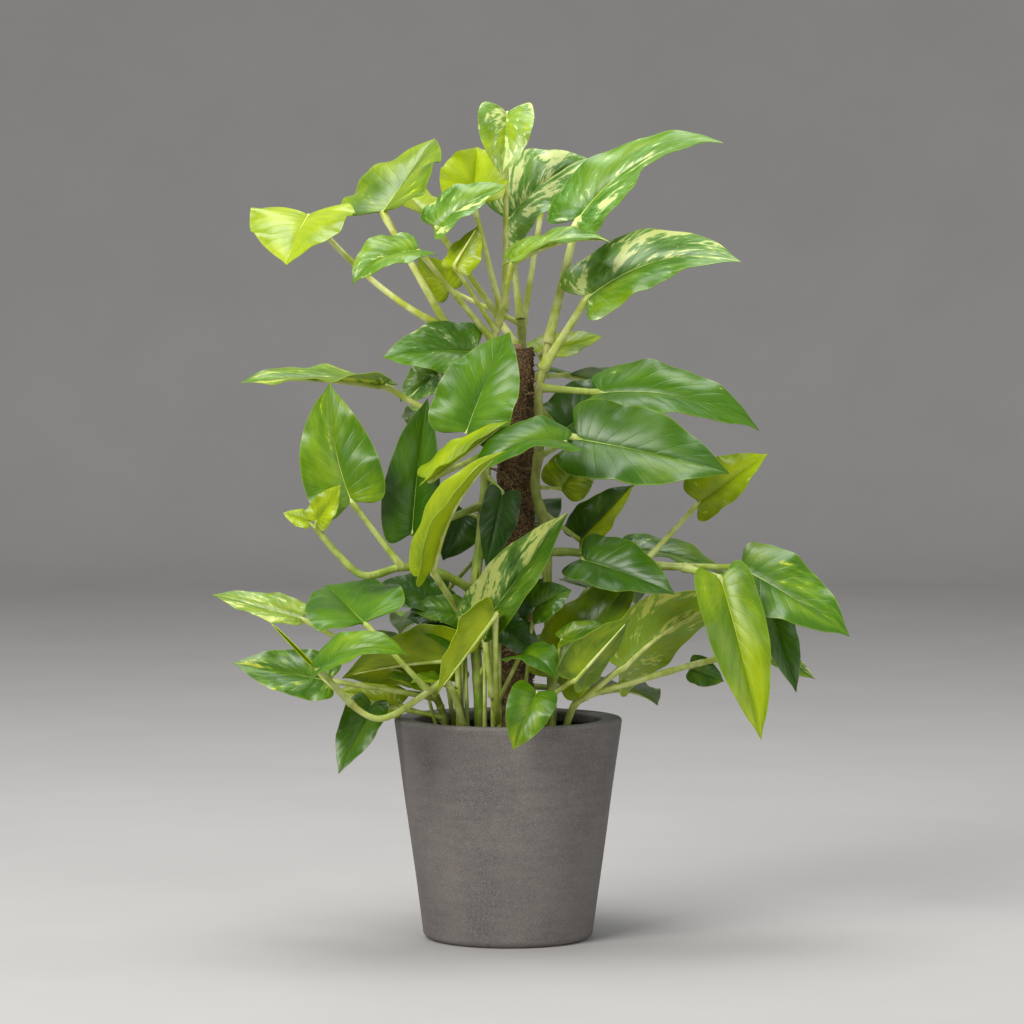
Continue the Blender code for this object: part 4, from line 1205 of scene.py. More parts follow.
@dataclass
class Blade:
    """A heart-shaped leaf blade, quilted between its side veins, with a grooved midrib and a wavy edge."""

    leaf: Leaf
    ground: Ground
    seed: float
    columns: int = 24
    rows: int = 58
    thickness: float = 0.0006
    lobe: float = 0.20
    dome: float = 0.24
    wave: float = 0.080
    crinkle: float = 0.030
    droop: float = 0.35
    droop_from: float = 0.84
    quilt: float = 0.0003
    groove: float = 0.0008
    groove_width: float = 0.0019

    def __post_init__(self) -> None:
        """Works out the midrib's three control points."""
        leaf = self.leaf
        self.base, self.tip = self.ground.place(leaf.base), self.ground.place(leaf.tip)
        self.facing = unit(np.array(leaf.face, float))
        side = unit(np.cross(self.tip - self.base, self.facing))
        self.control = (self.base + self.tip) / 2 + 2 * (self.facing * leaf.arch + side * leaf.sway) * MM
        self.length = float(np.linalg.norm(self.tip - self.base))

    def midrib(self, t: Any) -> np.ndarray:
        """Works out points of the midrib, which runs straight on backwards below 0.

        Args:
            t: 0 at the stalk to 1 at the tip.

        Returns:
            One row for each number.
        """
        share = np.asarray(t, float)[..., None]
        curve = self.base * (1 - share) ** 2 + self.control * 2 * share * (1 - share) + self.tip * share ** 2
        return np.where(share < 0, self.base + 2 * share * (self.control - self.base), curve)

    def axes(self, t: np.ndarray) -> tuple[np.ndarray, np.ndarray, np.ndarray]:
        """Works out the blade's own directions.

        Args:
            t: places along the midrib.

        Returns:
            The directions along the midrib, out to the right half, and up from the upper face.
        """
        forward = unit(self.midrib(t + 0.01) - self.midrib(t - 0.01))
        side = unit(np.cross(forward, self.facing))
        turn = (math.radians(self.leaf.twist) * np.maximum(0, t))[..., None]
        side = side * np.cos(turn) + np.cross(forward, side) * np.sin(turn)
        return forward, side, np.cross(side, forward)

    def surface(self, across: np.ndarray, s: np.ndarray) -> np.ndarray:
        """Points of the blade.

        Args:
            across: -1 to 1 from the left edge to the right.
            s: 0 to 1 from the lobes to the tip, the same all along a side vein.

        Returns:
            One row for each point.
        """
        ahead = 0.75 - np.cos(math.pi * s) / 4 - np.cos(math.pi * s / 2) / 2
        ahead = ahead - self.lobe * np.sin(2 * math.pi * s) * (1 - s) ** 2
        reach = np.sin(math.pi * s ** 0.75) * (1 - 0.2 * s ** 3) * (1 - 0.22 * hill(s, 0.94, 0.06))
        half = reach * self.leaf.width / 2 * MM
        out = np.abs(across)
        t = s ** 2.2 + (ahead - s ** 2.2) * out
        _, side, up = self.axes(t)
        fold = math.radians(self.leaf.fold)
        offset = out * half
        swing = np.where(across < 0, 0.0, 2.1) + self.seed * 5
        rise = offset * math.sin(fold) + self.dome * half * out * (1 - out)
        rise += half * self.wave * out ** 2 * np.sin(t * 13 + swing) * np.clip(4 * s, 0, 1)
        rise += half * self.crinkle * out ** 3 * np.sin(t * 29 + swing * 2.7)
        ripple = np.abs(np.sin(s * SIDE_VEINS * math.pi - out * VEIN_SLANT))
        ripple *= np.sin(math.pi * np.clip(out, 0, 1)) ** 0.7
        rise += self.quilt * ripple * np.clip(half / 0.02, 0, 1)
        rise -= self.groove * np.exp(-(offset / self.groove_width) ** 2) * np.clip((1 - s) * 4, 0, 1)
        hang = 1.5 + math.sin(self.seed * 9)
        rise -= self.length * self.droop * np.clip(t - self.droop_from, 0, 1) ** 2 * hang
        sideways = (across * half * math.cos(fold))[..., None]
        return self.midrib(t) + side * sideways + up * rise[..., None]

    def build(self) -> bpy.types.Object:
        """The blade's shell, with its blade and tone attributes.

        Returns:
            The mesh object, with its upper face in slot 0 and its underside in slot 1.
        """
        sheet = Bench.grid(self.leaf.name + "_sheet", self.columns, self.rows)
        flat = Bench.points(sheet)
        across, s = flat[:, 0], (flat[:, 1] + 1) / 2
        Bench.move_points(sheet, self.surface(across, s))
        Bench.mark(sheet, "blade", np.c_[across, s, np.full(len(flat), self.seed)])
        Bench.mark(sheet, "tone", self.colouring(across, s))
        Bench.weld(sheet, 0.00002)
        shell = sheet.modifiers.new("Thickness", "SOLIDIFY")
        shell.thickness = self.thickness
        shell.offset = 0
        shell.material_offset = 1
        shell.material_offset_rim = 1
        Bench.finish(sheet)
        Bench.smooth(sheet, 60)
        return sheet

    def colouring(self, across: np.ndarray, s: np.ndarray) -> np.ndarray:
        """Works out how yellow, streaked, dark and pale each point of the blade is.

        Args:
            across: -1 to 1 from the left edge to the right.
            s: 0 to 1 from the lobes to the tip.

        Returns:
            One row of four numbers for each point.
        """
        tone = self.leaf.tone
        right = np.clip(across * 4 + 0.5, 0, 1)
        lime = tone.lime + (tone.lime_tip - tone.lime) * s + tone.split * (right - 0.5)
        cream = tone.cream_left + (tone.cream_right - tone.cream_left) * right
        ones = np.ones_like(s)
        return np.c_[np.clip(lime, 0, 1), cream, tone.depth * ones, tone.white * ones]


@dataclass
class Stalk:
    """A leaf's stalk: sheathed at the vine, jointed under the blade, and a ridge below the midrib."""

    blade: Blade
    nodes: Sequence[Point]
    radius: float = 0.0032
    usual_length: float = 0.120
    reach: float = 0.9
    crown: float = 400.0
    crown_share: float = 1.15
    sheath: float = 0.62
    joint: float = 0.20
    yellow_from: float = 0.30

    def build(self) -> bpy.types.Object:
        """The closed tube, from the middle of the vine to near the blade's tip.

        Returns:
            The mesh object with its stalk attribute.
        """
        leaf, blade = self.blade.leaf, self.blade
        thick = self.radius * math.sqrt(blade.length / self.usual_length)
        if leaf.base[2] > self.crown:
            thick *= self.crown_share
        start = blade.ground.along(self.nodes, leaf.spot)[0]
        if leaf.foot:
            start = blade.ground.place(leaf.foot)
        bend = (start + blade.base) / 2 + np.array([0, 0, leaf.lift * MM])
        t = np.linspace(0, 1, 18)[:, None]
        free = start * (1 - t) ** 2 + bend * 2 * t * (1 - t) + blade.base * t ** 2
        ridge_at = np.linspace(0.03, self.reach, 14)
        _, _, up = blade.axes(ridge_at)
        ridge_thick = thick * (0.80 - 0.68 * ridge_at)
        ridge = blade.midrib(ridge_at) - up * (ridge_thick[:, None] * 0.75 + blade.groove)
        share = t[:, 0]
        width = thick * (0.92 + self.sheath * np.exp(-share * 6) + self.joint * hill(share, 0.94, 0.05))
        free[-1] -= up[0] * thick * 0.5
        tube = Tube(leaf.name + "_stalk", np.vstack([free, ridge]), np.concatenate([width, ridge_thick]))
        rod = tube.build()
        at = read_stalk(rod)[:, 0]
        above = max(0.0, blade.base[2] - blade.ground.rim - self.yellow_from)
        lime = np.clip(0.34 + 0.22 * at + leaf.tone.lime * 0.25 + above * 2.0, 0, 1)
        set_stalk(rod, 0.4 * hill(at, 0.0, 0.02), lime)
        return rod


@dataclass
class Foliage:
    """The blades with their stalks, each leaf one piece."""

    ground: Ground
    upper: bpy.types.Material
    under: bpy.types.Material
    skin: bpy.types.Material
    made: int = 0

    def shape(self, leaf: Leaf) -> list[bpy.types.Object]:
        """Makes one leaf's blade and stalk, dressed but not joined.

        Args:
            leaf: the leaf.

        Returns:
            The two objects.
        """
        self.made += 1
        blade = Blade(leaf, self.ground, (self.made * 0.618) % 1)
        shell = Bench.dress(blade.build(), self.upper, self.under)
        stalk = Bench.dress(Stalk(blade, VINES[leaf.vine][leaf.stem]).build(), self.skin)
        return [shell, stalk]

    def build(self) -> None:
        """Makes every leaf that is a piece of its own."""
        for leaf in LEAVES:
            piece = Bench.merge(leaf.name + "_blade", self.shape(leaf))
            hand_over(piece, leaf.name)


@dataclass
class Vines:
    """The climbing and trailing stems, with the small leaves that are joined to them."""

    ground: Ground
    foliage: Foliage
    skin: bpy.types.Material
    soil_top: float
    radius: float = 0.0048
    side_share: float = 0.85
    runner_share: float = 0.71
    shoot_share: float = 0.72
    rooted: float = 0.020
    taper: float = 0.30
    swelling: float = 0.13
    bare_node: float = 0.55
    scar: float = 0.55
    browned: float = 0.45
    browned_from: float = 0.14
    browned_over: float = 0.10

    def thickness(self, vine: str, index: int) -> float:
        """Works out a stem's radius at its foot. The runners, shoots and side stems are the thinner ones.

        Args:
            vine: the vine's name.
            index: which of its stems, 0 for the one that is rooted.

        Returns:
            The radius in metres.
        """
        share = self.side_share if index else 1.0
        if vine.endswith("runner"):
            share *= self.runner_share
        if vine.endswith("shoot"):
            share *= self.shoot_share
        return self.radius * share

    def stem(self, vine: str, index: int) -> bpy.types.Object:
        """One stem, swollen and ringed at each node that bears a leaf.

        Args:
            vine: the vine's name.
            index: which of its stems, 0 for the one that is rooted.

        Returns:
            The tube's object.
        """
        nodes = VINES[vine][index]
        at = np.linspace(0, len(nodes) - 1, 10 * (len(nodes) - 1) + 1)
        route = self.ground.along(nodes, at)
        radii = np.full(len(at), self.thickness(vine, index))
        radii *= 1 - self.taper * (at / at[-1]) ** 2
        rings = np.zeros(len(at))
        leaves = [leaf for leaf in LEAVES + SMALL_LEAVES if (leaf.vine, leaf.stem) == (vine, index)]
        bearing = [leaf.spot for leaf in leaves]
        for spot in sorted(bearing + [k + self.bare_node for k in range(len(nodes) - 1)]):
            radii *= 1 + self.swelling * hill(at, spot, 0.10)
            rings = np.maximum(rings, self.scar * hill(at, spot - 0.10, 0.05))
        if not index:
            route[0][2] = self.soil_top + 2 * self.radius
            below = route[0].copy()
            below[2] = self.soil_top - self.rooted
            route, radii = np.vstack([below, route]), np.concatenate([radii[:1], radii])
            rings = np.concatenate([rings[:1], rings])
        rod = Tube(f"{vine}_stem_{index}", route, radii, 5).build()
        share = read_stalk(rod)[:, 0]
        steps = np.concatenate([[0], np.cumsum(np.linalg.norm(np.diff(route, axis=0), axis=1))])
        ring = np.interp(share, steps / steps[-1], rings)
        height = Bench.points(rod)[:, 2] - self.ground.rim
        young = 0.45 if vine.endswith("runner") else 0.06 + 0.7 * np.clip(height, 0, None)
        aged = self.browned * np.clip((height - self.browned_from) / self.browned_over, 0, 1)
        aged = aged * (vine == "right_climber")
        set_stalk(rod, np.maximum(ring, aged), np.clip(young + 0.15 * share, 0, 0.6))
        return Bench.dress(rod, self.skin)

    def build(self) -> None:
        """Makes each vine as one piece with its side stems and small leaves."""
        for vine, stems in VINES.items():
            pieces = [self.stem(vine, index) for index in range(len(stems))]
            for leaf in SMALL_LEAVES:
                if leaf.vine == vine:
                    pieces += self.foliage.shape(leaf)
            piece = Bench.merge(vine + "_vine", pieces)
            hand_over(piece, vine)


# ---------------------------------------------------------------------------------------------
# The pot, the soil and the pole
# ---------------------------------------------------------------------------------------------


@dataclass
class Lathe:
    """A shell turned about the upright axis, from a ring that is drawn along a profile."""

    name: str
    profile: Sequence[tuple[float, float]]
    segments: int = 96

    def build(self) -> bpy.types.Object:
        """Extrudes a circle from point to point of the (radius, height) profile, and closes both ends.

        Returns:
            The closed mesh object.
        """
        Bench.clear()
        radius, height = self.profile[0]
        bpy.ops.mesh.primitive_circle_add(vertices=self.segments, radius=radius, location=(0, 0, height))
        turned = bpy.context.object
        turned.name = self.name
        Bench.settle(turned)
        bpy.ops.object.mode_set(mode="EDIT")
        bpy.ops.mesh.select_all(action="SELECT")
        bpy.ops.mesh.extrude_region_move()
        bpy.ops.mesh.merge(type="CENTER")
        bpy.ops.object.mode_set(mode="OBJECT")
        self._pick_ring(turned, radius, height)
        for new_radius, new_height in self.profile[1:]:
            bpy.ops.mesh.extrude_region_move(TRANSFORM_OT_translate={"value": (0, 0, new_height - height)})
            share = new_radius / radius
            bpy.ops.transform.resize(value=(share, share, 1), center_override=(0, 0, new_height))
            radius, height = new_radius, new_height
        bpy.ops.mesh.extrude_region_move()
        bpy.ops.mesh.merge(type="CENTER")
        bpy.ops.object.mode_set(mode="OBJECT")
        Bench.weld(turned)
        Bench.face_out(turned)
        return turned

    @staticmethod
    def _pick_ring(turned: bpy.types.Object, radius: float, height: float) -> None:
        """Selects one ring of points, in edit mode.

        Args:
            turned: the turned object.
            radius: the ring's radius.
            height: the ring's height.
        """
        Bench.pick(turned)
        bpy.ops.object.mode_set(mode="EDIT")
        bpy.ops.mesh.select_mode(type="VERT")
        mesh = bmesh.from_edit_mesh(turned.data)
        for vert in mesh.verts:
            far = abs(math.hypot(vert.co.x, vert.co.y) - radius) + abs(vert.co.z - height)
            vert.select = far < 0.00002
        mesh.select_flush_mode()
        bmesh.update_edit_mesh(turned.data)


def bow(centre: tuple[float, float], radius: float, start: float, end: float, count: int) -> Section:
    """Points of an arc in the (radius, height) plane, between two angles in degrees."""
    angles = [math.radians(start + (end - start) * i / count) for i in range(count + 1)]
    return [(centre[0] + radius * math.cos(a), centre[1] + radius * math.sin(a)) for a in angles]


def line(start: tuple[float, float], end: tuple[float, float], count: int) -> Section:
    """Points of a straight line, without its first point."""
    return [tuple(a + (b - a) * i / count for a, b in zip(start, end)) for i in range(1, count + 1)]


@dataclass
class Grain:
    """Repeatable smooth noise on points in space."""

    seed: int
    waves: int = 28

    def lumps(self, points: np.ndarray, size: float) -> np.ndarray:
        """Works out noise from about -1 to 1.

        Args:
            points: one row for each point.
            size: about how wide a lump is, in metres.

        Returns:
            One number for each point.
        """
        dice = np.random.default_rng(self.seed)
        ways = unit(dice.normal(size=(self.waves, 3)))
        ways = ways * dice.uniform(0.6, 1.7, (self.waves, 1)) * math.pi / size
        phases = dice.uniform(0, math.tau, self.waves)
        return np.sin(points @ ways.T + phases).sum(axis=1) / math.sqrt(self.waves)


@dataclass
class Planter:
    """The tapered stone planter with the lip turned in at its rim."""

    finish: CastStone
    height: float
    rim_radius: float
    base_radius: float = 0.0825
    wall: float = 0.006
    floor: float = 0.009
    lip: float = 0.0205
    lip_depth: float = 0.012
    rim_rounding: float = 0.003
    rim_slope: float = 0.001
    base_rounding: float = 0.008
    inner_rounding: float = 0.006
    middle: float = 0.010
    waver: float = 0.00018

    def outer(self, z: float) -> float:
        """The outer radius at a height."""
        return self.base_radius + (self.rim_radius - self.base_radius) * z / self.height

    def profile(self) -> Section:
        """Draws the section, from the middle of the floor inside, over the lip, to the middle of the foot.

        Returns:
            The (radius, height) points.
        """
        under, inner = self.height - self.lip_depth, self.rim_radius - self.lip
        soft, foot = self.rim_rounding, self.outer(0) - self.base_rounding
        turn = self.inner_rounding
        corner = self.outer(self.floor) - self.wall - turn
        points = [(self.middle, self.floor)]
        points += line(points[-1], (corner, self.floor), 6)
        points += bow((corner, self.floor + turn), turn, -80, 0, 4)
        points += line(points[-1], (self.outer(under) - self.wall, under), 24)
        points += line(points[-1], (inner + soft, under), 3)
        points += bow((inner + soft, under + soft), soft, 270, 180, 6)[1:]
        points += bow((inner + soft, self.height - soft - self.rim_slope), soft, 180, 90, 6)
        points += line(points[-1], (self.rim_radius - soft, self.height), 6)
        points += bow((self.rim_radius - soft, self.height - soft), soft, 90, 0, 7)[1:]
        shoulder = (foot + self.base_rounding, self.base_rounding)
        points += line(points[-1], shoulder, 48)
        points += bow((foot, self.base_rounding), self.base_rounding, 0, -90, 8)[1:]
        return points + line(points[-1], (self.middle, 0.0), 6)

    def build(self) -> None:
        """Makes the planter, very slightly uneven as a moulded one is."""
        pot = Lathe("stone_planter", self.profile(), 128).build()
        places = Bench.points(pot)
        out = places * np.array([1, 1, 0])
        out = out / np.maximum(np.linalg.norm(out, axis=1, keepdims=True), 0.001)
        Bench.move_points(pot, places - out * (Grain(3).lumps(places, 0.05) + 1)[:, None] * self.waver)
        Bench.smooth(pot, 45)
        Bench.dress(pot, self.finish.build())
        hand_over(pot, "planter")


@dataclass
class NurseryPot:
    """The thin black pot inside, with a rolled rim and drain holes."""

    finish: MouldedBlack
    top: float
    bottom: float
    top_radius: float = 0.084
    base_radius: float = 0.061
    wall: float = 0.0016
    bead: float = 0.0032
    step: float = 0.0006
    middle: float = 0.006
    holes: int = 4
    hole_radius: float = 0.006
    hole_circle: float = 0.040

    def outer(self, z: float) -> float:
        """The outer radius at a height."""
        share = (z - self.bottom) / (self.top - self.bottom)
        return self.base_radius + (self.top_radius - self.base_radius) * share

    def profile(self) -> Section:
        """Draws the section, from the middle of the floor inside, over the rim, to the middle underneath.

        Returns:
            The (radius, height) points.
        """
        inner = self.bottom + self.wall
        rolled = self.bead / 2
        mouth = self.outer(self.top) - self.wall
        points = [(self.middle, inner)]
        points += line(points[-1], (self.outer(inner) - self.wall, inner), 6)
        points += line(points[-1], (mouth, self.top - self.step), 12)
        points += line(points[-1], (mouth + self.step, self.top), 1)
        centre = (self.outer(self.top) + self.bead - rolled, self.top - rolled)
        points += bow(centre, rolled, 90, -90, 8)
        points += line(points[-1], (self.outer(self.top - self.bead), self.top - self.bead), 1)
        points += line(points[-1], (self.outer(self.bottom), self.bottom), 12)
        return points + line(points[-1], (self.middle, self.bottom), 6)

    def build(self) -> None:
        """Makes the pot and cuts its holes."""
        pot = Lathe("nursery_pot", self.profile(), 96).build()
        for i in range(self.holes):
            angle = math.tau * (i + 0.5) / self.holes
            spot = (math.cos(angle) * self.hole_circle, math.sin(angle) * self.hole_circle, self.bottom)
            Bench.clear()
            bpy.ops.mesh.primitive_cylinder_add(vertices=20, radius=self.hole_radius, depth=0.02,
                                                location=spot)
            drill = bpy.context.object
            Bench.settle(drill)
            cut = pot.modifiers.new("Drain", "BOOLEAN")
            cut.object = drill
            Bench.finish(pot)
            bpy.data.objects.remove(drill)
        Bench.smooth(pot, 40)
        Bench.dress(pot, self.finish.build())
        hand_over(pot, "grow_pot")


@dataclass
class Soil:
    """Potting soil: a lumpy top strewn with crumbs."""

    finish: PottingMix
    top: float
    bottom: float
    top_radius: float
    bottom_radius: float = 0.059
    gap: float = 0.0004
    skin: float = 0.004
    lump: float = 0.0022
    bank: float = 0.0035
    bank_width: float = 0.007
    crumbs: int = 420

    def build(self) -> None:
        """Makes the soil with its crumbs, as one piece."""
        edge = self.top_radius - self.gap
        points = line((0.0, self.top), (edge, self.top), 52)
        points += line(points[-1], (self.bottom_radius, self.bottom), 14)
        points += line(points[-1], (0.002, self.bottom), 6)
        bed = Lathe("potting_soil_bed", points, 120).build()
        places = Bench.points(bed)
        out = np.linalg.norm(places[:, :2], axis=1)
        level = np.clip((places[:, 2] - self.top + self.skin) / self.skin, 0, 1)
        rise = Grain(5).lumps(places, 0.016) * 0.7 + Grain(6).lumps(places, 0.006) * 0.45 - 0.4
        rise *= self.lump * level * np.clip((edge - out) / self.skin, 0.15, 1)
        rise += self.bank * level * hill(out, edge, self.bank_width)
        Bench.move_points(bed, places + np.c_[np.zeros((len(places), 2)), rise])
        Bench.smooth(bed, 70)
        soil = Bench.merge("potting_soil_top", [bed, *self.strewn()])
        Bench.dress(soil, self.finish.build())
        hand_over(soil, "potting_soil")

    def strewn(self) -> list[bpy.types.Object]:
        """Strews crumbs of bark and peat, each pressed into the top.

        Returns:
            The crumbs, the modelled one first.
        """
        model = Bench.lump("crumb")
        dice = np.random.default_rng(100)
        crumbs = [model]
        for _ in range(self.crumbs):
            angle = dice.uniform(0, math.tau)
            out = math.sqrt(dice.uniform(0, 1)) * (self.top_radius - self.skin)
            spot = (math.cos(angle) * out, math.sin(angle) * out, self.top + dice.uniform(-0.0006, 0.0012))
            size = dice.uniform(0.0012, 0.0032) * dice.uniform(0.5, 1.5, 3)
            crumbs.append(Bench.copy(model, spot, dice.uniform(0, math.tau, 3), size))
        model.location, model.scale = (0, -0.030, self.top), (0.002, 0.002, 0.002)
        return crumbs


@dataclass
class Strands:
    """Many thin threads, drawn as one curve with many splines."""

    name: str
    routes: list[np.ndarray]
    radius: float
    taper: float = 0.5

    def build(self) -> bpy.types.Object:
        """Makes the threads' mesh.

        Returns:
            The threads as one object.
        """
        widths = [[1 - self.taper * i / len(route) for i in range(len(route))] for route in self.routes]
        threads = sweep(self.name, self.routes, widths, self.radius, 0)
        Bench.weld(threads, 0.000001)
        Bench.smooth(threads, 80)
        return threads


@dataclass
class CoirPole:
    """The climbing pole: a wooden stake in a sleeve of matted coconut fibre, gripped by the vines' roots."""

    ground: Ground
    fibre: CoirFibre
    wood: SawnWood
    bark: DryRoot
    centre: tuple[float, float]
    radius: float
    low: float
    high: float
    bore: float = 0.0083
    segments: int = 96
    rows: int = 150
    roughness: float = 0.0015
    ragged: float = 0.0011
    bare_foot: float = 0.024
    sunk: float = 0.0007
    loose: int = 420
    chips: int = 1800
    rooting: float = 0.42

    def sleeve(self) -> bpy.types.Object:
        """Makes the matted sleeve, with the bore that the stake fills.

        Returns:
            The sleeve's object.
        """
        Bench.clear()
        spot = (*self.centre, (self.low + self.high) / 2)
        bpy.ops.mesh.primitive_cylinder_add(vertices=self.segments, radius=self.radius, location=spot,
                                            depth=self.high - self.low, end_fill_type="NOTHING")
        mat = bpy.context.object
        mat.name = "coir_mat"
        Bench.settle(mat)
        bpy.ops.object.mode_set(mode="EDIT")
        bpy.ops.mesh.select_all(action="SELECT")
        mesh = bmesh.from_edit_mesh(mat.data)
        upright = [edge for edge in mesh.edges if abs(edge.verts[0].co.z - edge.verts[1].co.z) > 0.01]
        bmesh.ops.subdivide_edges(mesh, edges=upright, cuts=self.rows, use_grid_fill=True)
        bmesh.update_edit_mesh(mat.data)
        for height in (self.high, self.low):
            self._close_end(mat, height)
        bpy.ops.mesh.select_all(action="DESELECT")
        mesh = bmesh.from_edit_mesh(mat.data)
        for edge in mesh.edges:
            edge.select = edge.is_boundary
        bmesh.update_edit_mesh(mat.data)
        bpy.ops.mesh.bridge_edge_loops()
        bpy.ops.object.mode_set(mode="OBJECT")
        Bench.face_out(mat)
        places = Bench.points(mat)
        middle = np.array([*self.centre, 0])
        out = (places - middle) * np.array([1, 1, 0])
        span = np.linalg.norm(out, axis=1, keepdims=True)
        skin = np.clip((span[:, 0] - self.bore) / (self.radius - self.bore), 0, 1)
        push = Grain(8).lumps(places, 0.010) * 0.55 + Grain(9).lumps(places, 0.0035) * 0.55 - 0.5
        places = places + out / span * (push * skin * self.roughness)[:, None]
        ends = skin * (places[:, 2] > self.high - 0.0005)
        places[:, 2] += ends * (Grain(10).lumps(places, 0.005) - 0.9) * self.ragged
        Bench.move_points(mat, places)
        Bench.smooth(mat, 70)
        return mat

    def _close_end(self, mat: bpy.types.Object, height: float) -> None:
        """Draws an open end inwards to the bore, in steps.

        Args:
            mat: the sleeve's object, in edit mode.
            height: the end's height.
        """
        bpy.ops.mesh.select_all(action="DESELECT")
        mesh = bmesh.from_edit_mesh(mat.data)
        for edge in mesh.edges:
            edge.select = edge.is_boundary and abs(edge.verts[0].co.z - height) < 0.0005
        bmesh.update_edit_mesh(mat.data)
        radius = self.radius
        for new_radius in np.linspace(self.radius, self.bore, 5)[1:]:
            bpy.ops.mesh.extrude_region_move()
            share = float(new_radius / radius)
            bpy.ops.transform.resize(value=(share, share, 1), center_override=(*self.centre, height))
            radius = float(new_radius)

    def fluff(self) -> bpy.types.Object:
        """Lays loose fibres on the sleeve, each standing a little off it.

        Returns:
            The fibres as one object.
        """
        dice = np.random.default_rng(21)
        routes = []
        for _ in range(self.loose):
            angle, z = dice.uniform(0, math.tau), dice.uniform(self.low + 0.026, self.high - 0.002)
            turn, climb = dice.uniform(-0.9, 0.9), dice.uniform(-0.010, 0.010)
            lift = dice.uniform(0.0, 0.0022)
            t = np.linspace(0, 1, 6)
            bend = angle + turn * t + 0.15 * np.sin(t * 5 + z * 900)
            off = self.radius - 0.0009 + lift * np.sin(math.pi * t) ** 1.5
            spots = np.c_[self.centre[0] + off * np.cos(bend), self.centre[1] + off * np.sin(bend),
                          np.clip(z + climb * t, self.low, self.high)]
            routes.append(spots)
        return Strands("coir_fluff", routes, 0.00022).build()

    def chips_on(self) -> list[bpy.types.Object]:
        """Mats chips of husk into the sleeve, each a small angular lump.

        Returns:
            The chips, the modelled one first.
        """
        model = Bench.lump("chip")
        dice = np.random.default_rng(55)
        made = [model]
        for _ in range(self.chips):
            angle, z = dice.uniform(0, math.tau), dice.uniform(self.low + self.bare_foot, self.high - 0.001)
            off = self.radius - self.sunk + dice.uniform(-0.0006, 0.0006)
            spot = (self.centre[0] + off * math.cos(angle), self.centre[1] + off * math.sin(angle), z)
            size = dice.uniform(0.0007, 0.0018) * dice.uniform(0.4, 1.6, 3)
            made.append(Bench.copy(model, spot, dice.uniform(0, math.tau, 3), size))
        model.location = (self.centre[0], self.centre[1] - self.radius + self.sunk, self.high - 0.05)
        model.scale = (0.001, 0.001, 0.001)
        return made

    def grips(self) -> list[bpy.types.Object]:
        """Grows the vines' roots, which reach over to the pole and creep round it.

        Returns:
            The roots' objects.
        """
        dice = np.random.default_rng(33)
        made = []
        for vine in ("left_climber", "right_climber", "back_climber"):
            nodes = VINES[vine][0]
            for at in np.arange(1.4, len(nodes) - 1.2, self.rooting):
                start = self.ground.along(nodes, at)[0]
                if not self.low + 0.03 < start[2] < self.high - 0.01:
                    continue
                for _ in range(2):
                    made.append(self._grip(start, dice, len(made)))
        return made

    def _grip(self, start: np.ndarray, dice: Any, index: int) -> bpy.types.Object:
        """Grows one root from a vine onto the sleeve.

        Args:
            start: its place on the vine's middle line.
            dice: the seeded random generator.
            index: its number, which sets how it waves.

        Returns:
            The root's object.
        """
        home = math.atan2(start[1] - self.centre[1], start[0] - self.centre[0])
        turn, drop = dice.uniform(0.5, 1.9) * dice.choice([-1, 1]), dice.uniform(-0.020, 0.014)
        t = np.linspace(0, 1, 14)
        angle = home + turn * np.clip(t - 0.15, 0, 1) + 0.10 * np.sin(t * 9 + index)
        gap = np.hypot(start[0] - self.centre[0], start[1] - self.centre[1])
        off = self.radius + 0.0003 + (gap - self.radius) * np.clip(1 - t / 0.3, 0, 1) ** 1.4
        height = start[2] + drop * t + 0.0015 * np.sin(t * 11 + index * 2)
        route = np.c_[self.centre[0] + off * np.cos(angle), self.centre[1] + off * np.sin(angle), height]
        return Tube(f"grip_{index}", route, dice.uniform(0.0006, 0.0011) * (1 - 0.6 * t), 1).build()

    def build(self) -> None:
        """Makes the sleeve, the fibres and the roots, and dresses the stake."""
        coir = self.fibre.build()
        sleeve = Bench.merge("coir_pole_sleeve", [self.sleeve(), self.fluff(), *self.chips_on()])
        Bench.dress(sleeve, coir)
        hand_over(sleeve, "coir_sleeve")
        roots = Bench.merge("climbing_roots", self.grips())
        Bench.dress(roots, self.bark.build())
        hand_over(roots)
        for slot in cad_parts["pole_core"].material_slots:
            slot.material = self.wood.build()


# ---------------------------------------------------------------------------------------------
# The studio
# ---------------------------------------------------------------------------------------------


@dataclass(frozen=True)
class Lamp:
    """A square soft light: its place, the height that it faces, its side in metres, watts and colour."""

    name: str
    place: Point
    aim: float
    size: float
    power: float
    tint: Colour

    def hang(self) -> None:
        """Adds the light, turned to the plant's axis."""
        Bench.clear()
        bpy.ops.object.light_add(type="AREA", location=self.place)
        light = bpy.context.object
        light.name = self.name
        way = Vector((0, 0, self.aim)) - Vector(self.place)
        light.rotation_euler = way.to_track_quat("-Z", "Y").to_euler()
        light.data.size, light.data.energy, light.data.color = self.size, self.power, self.tint


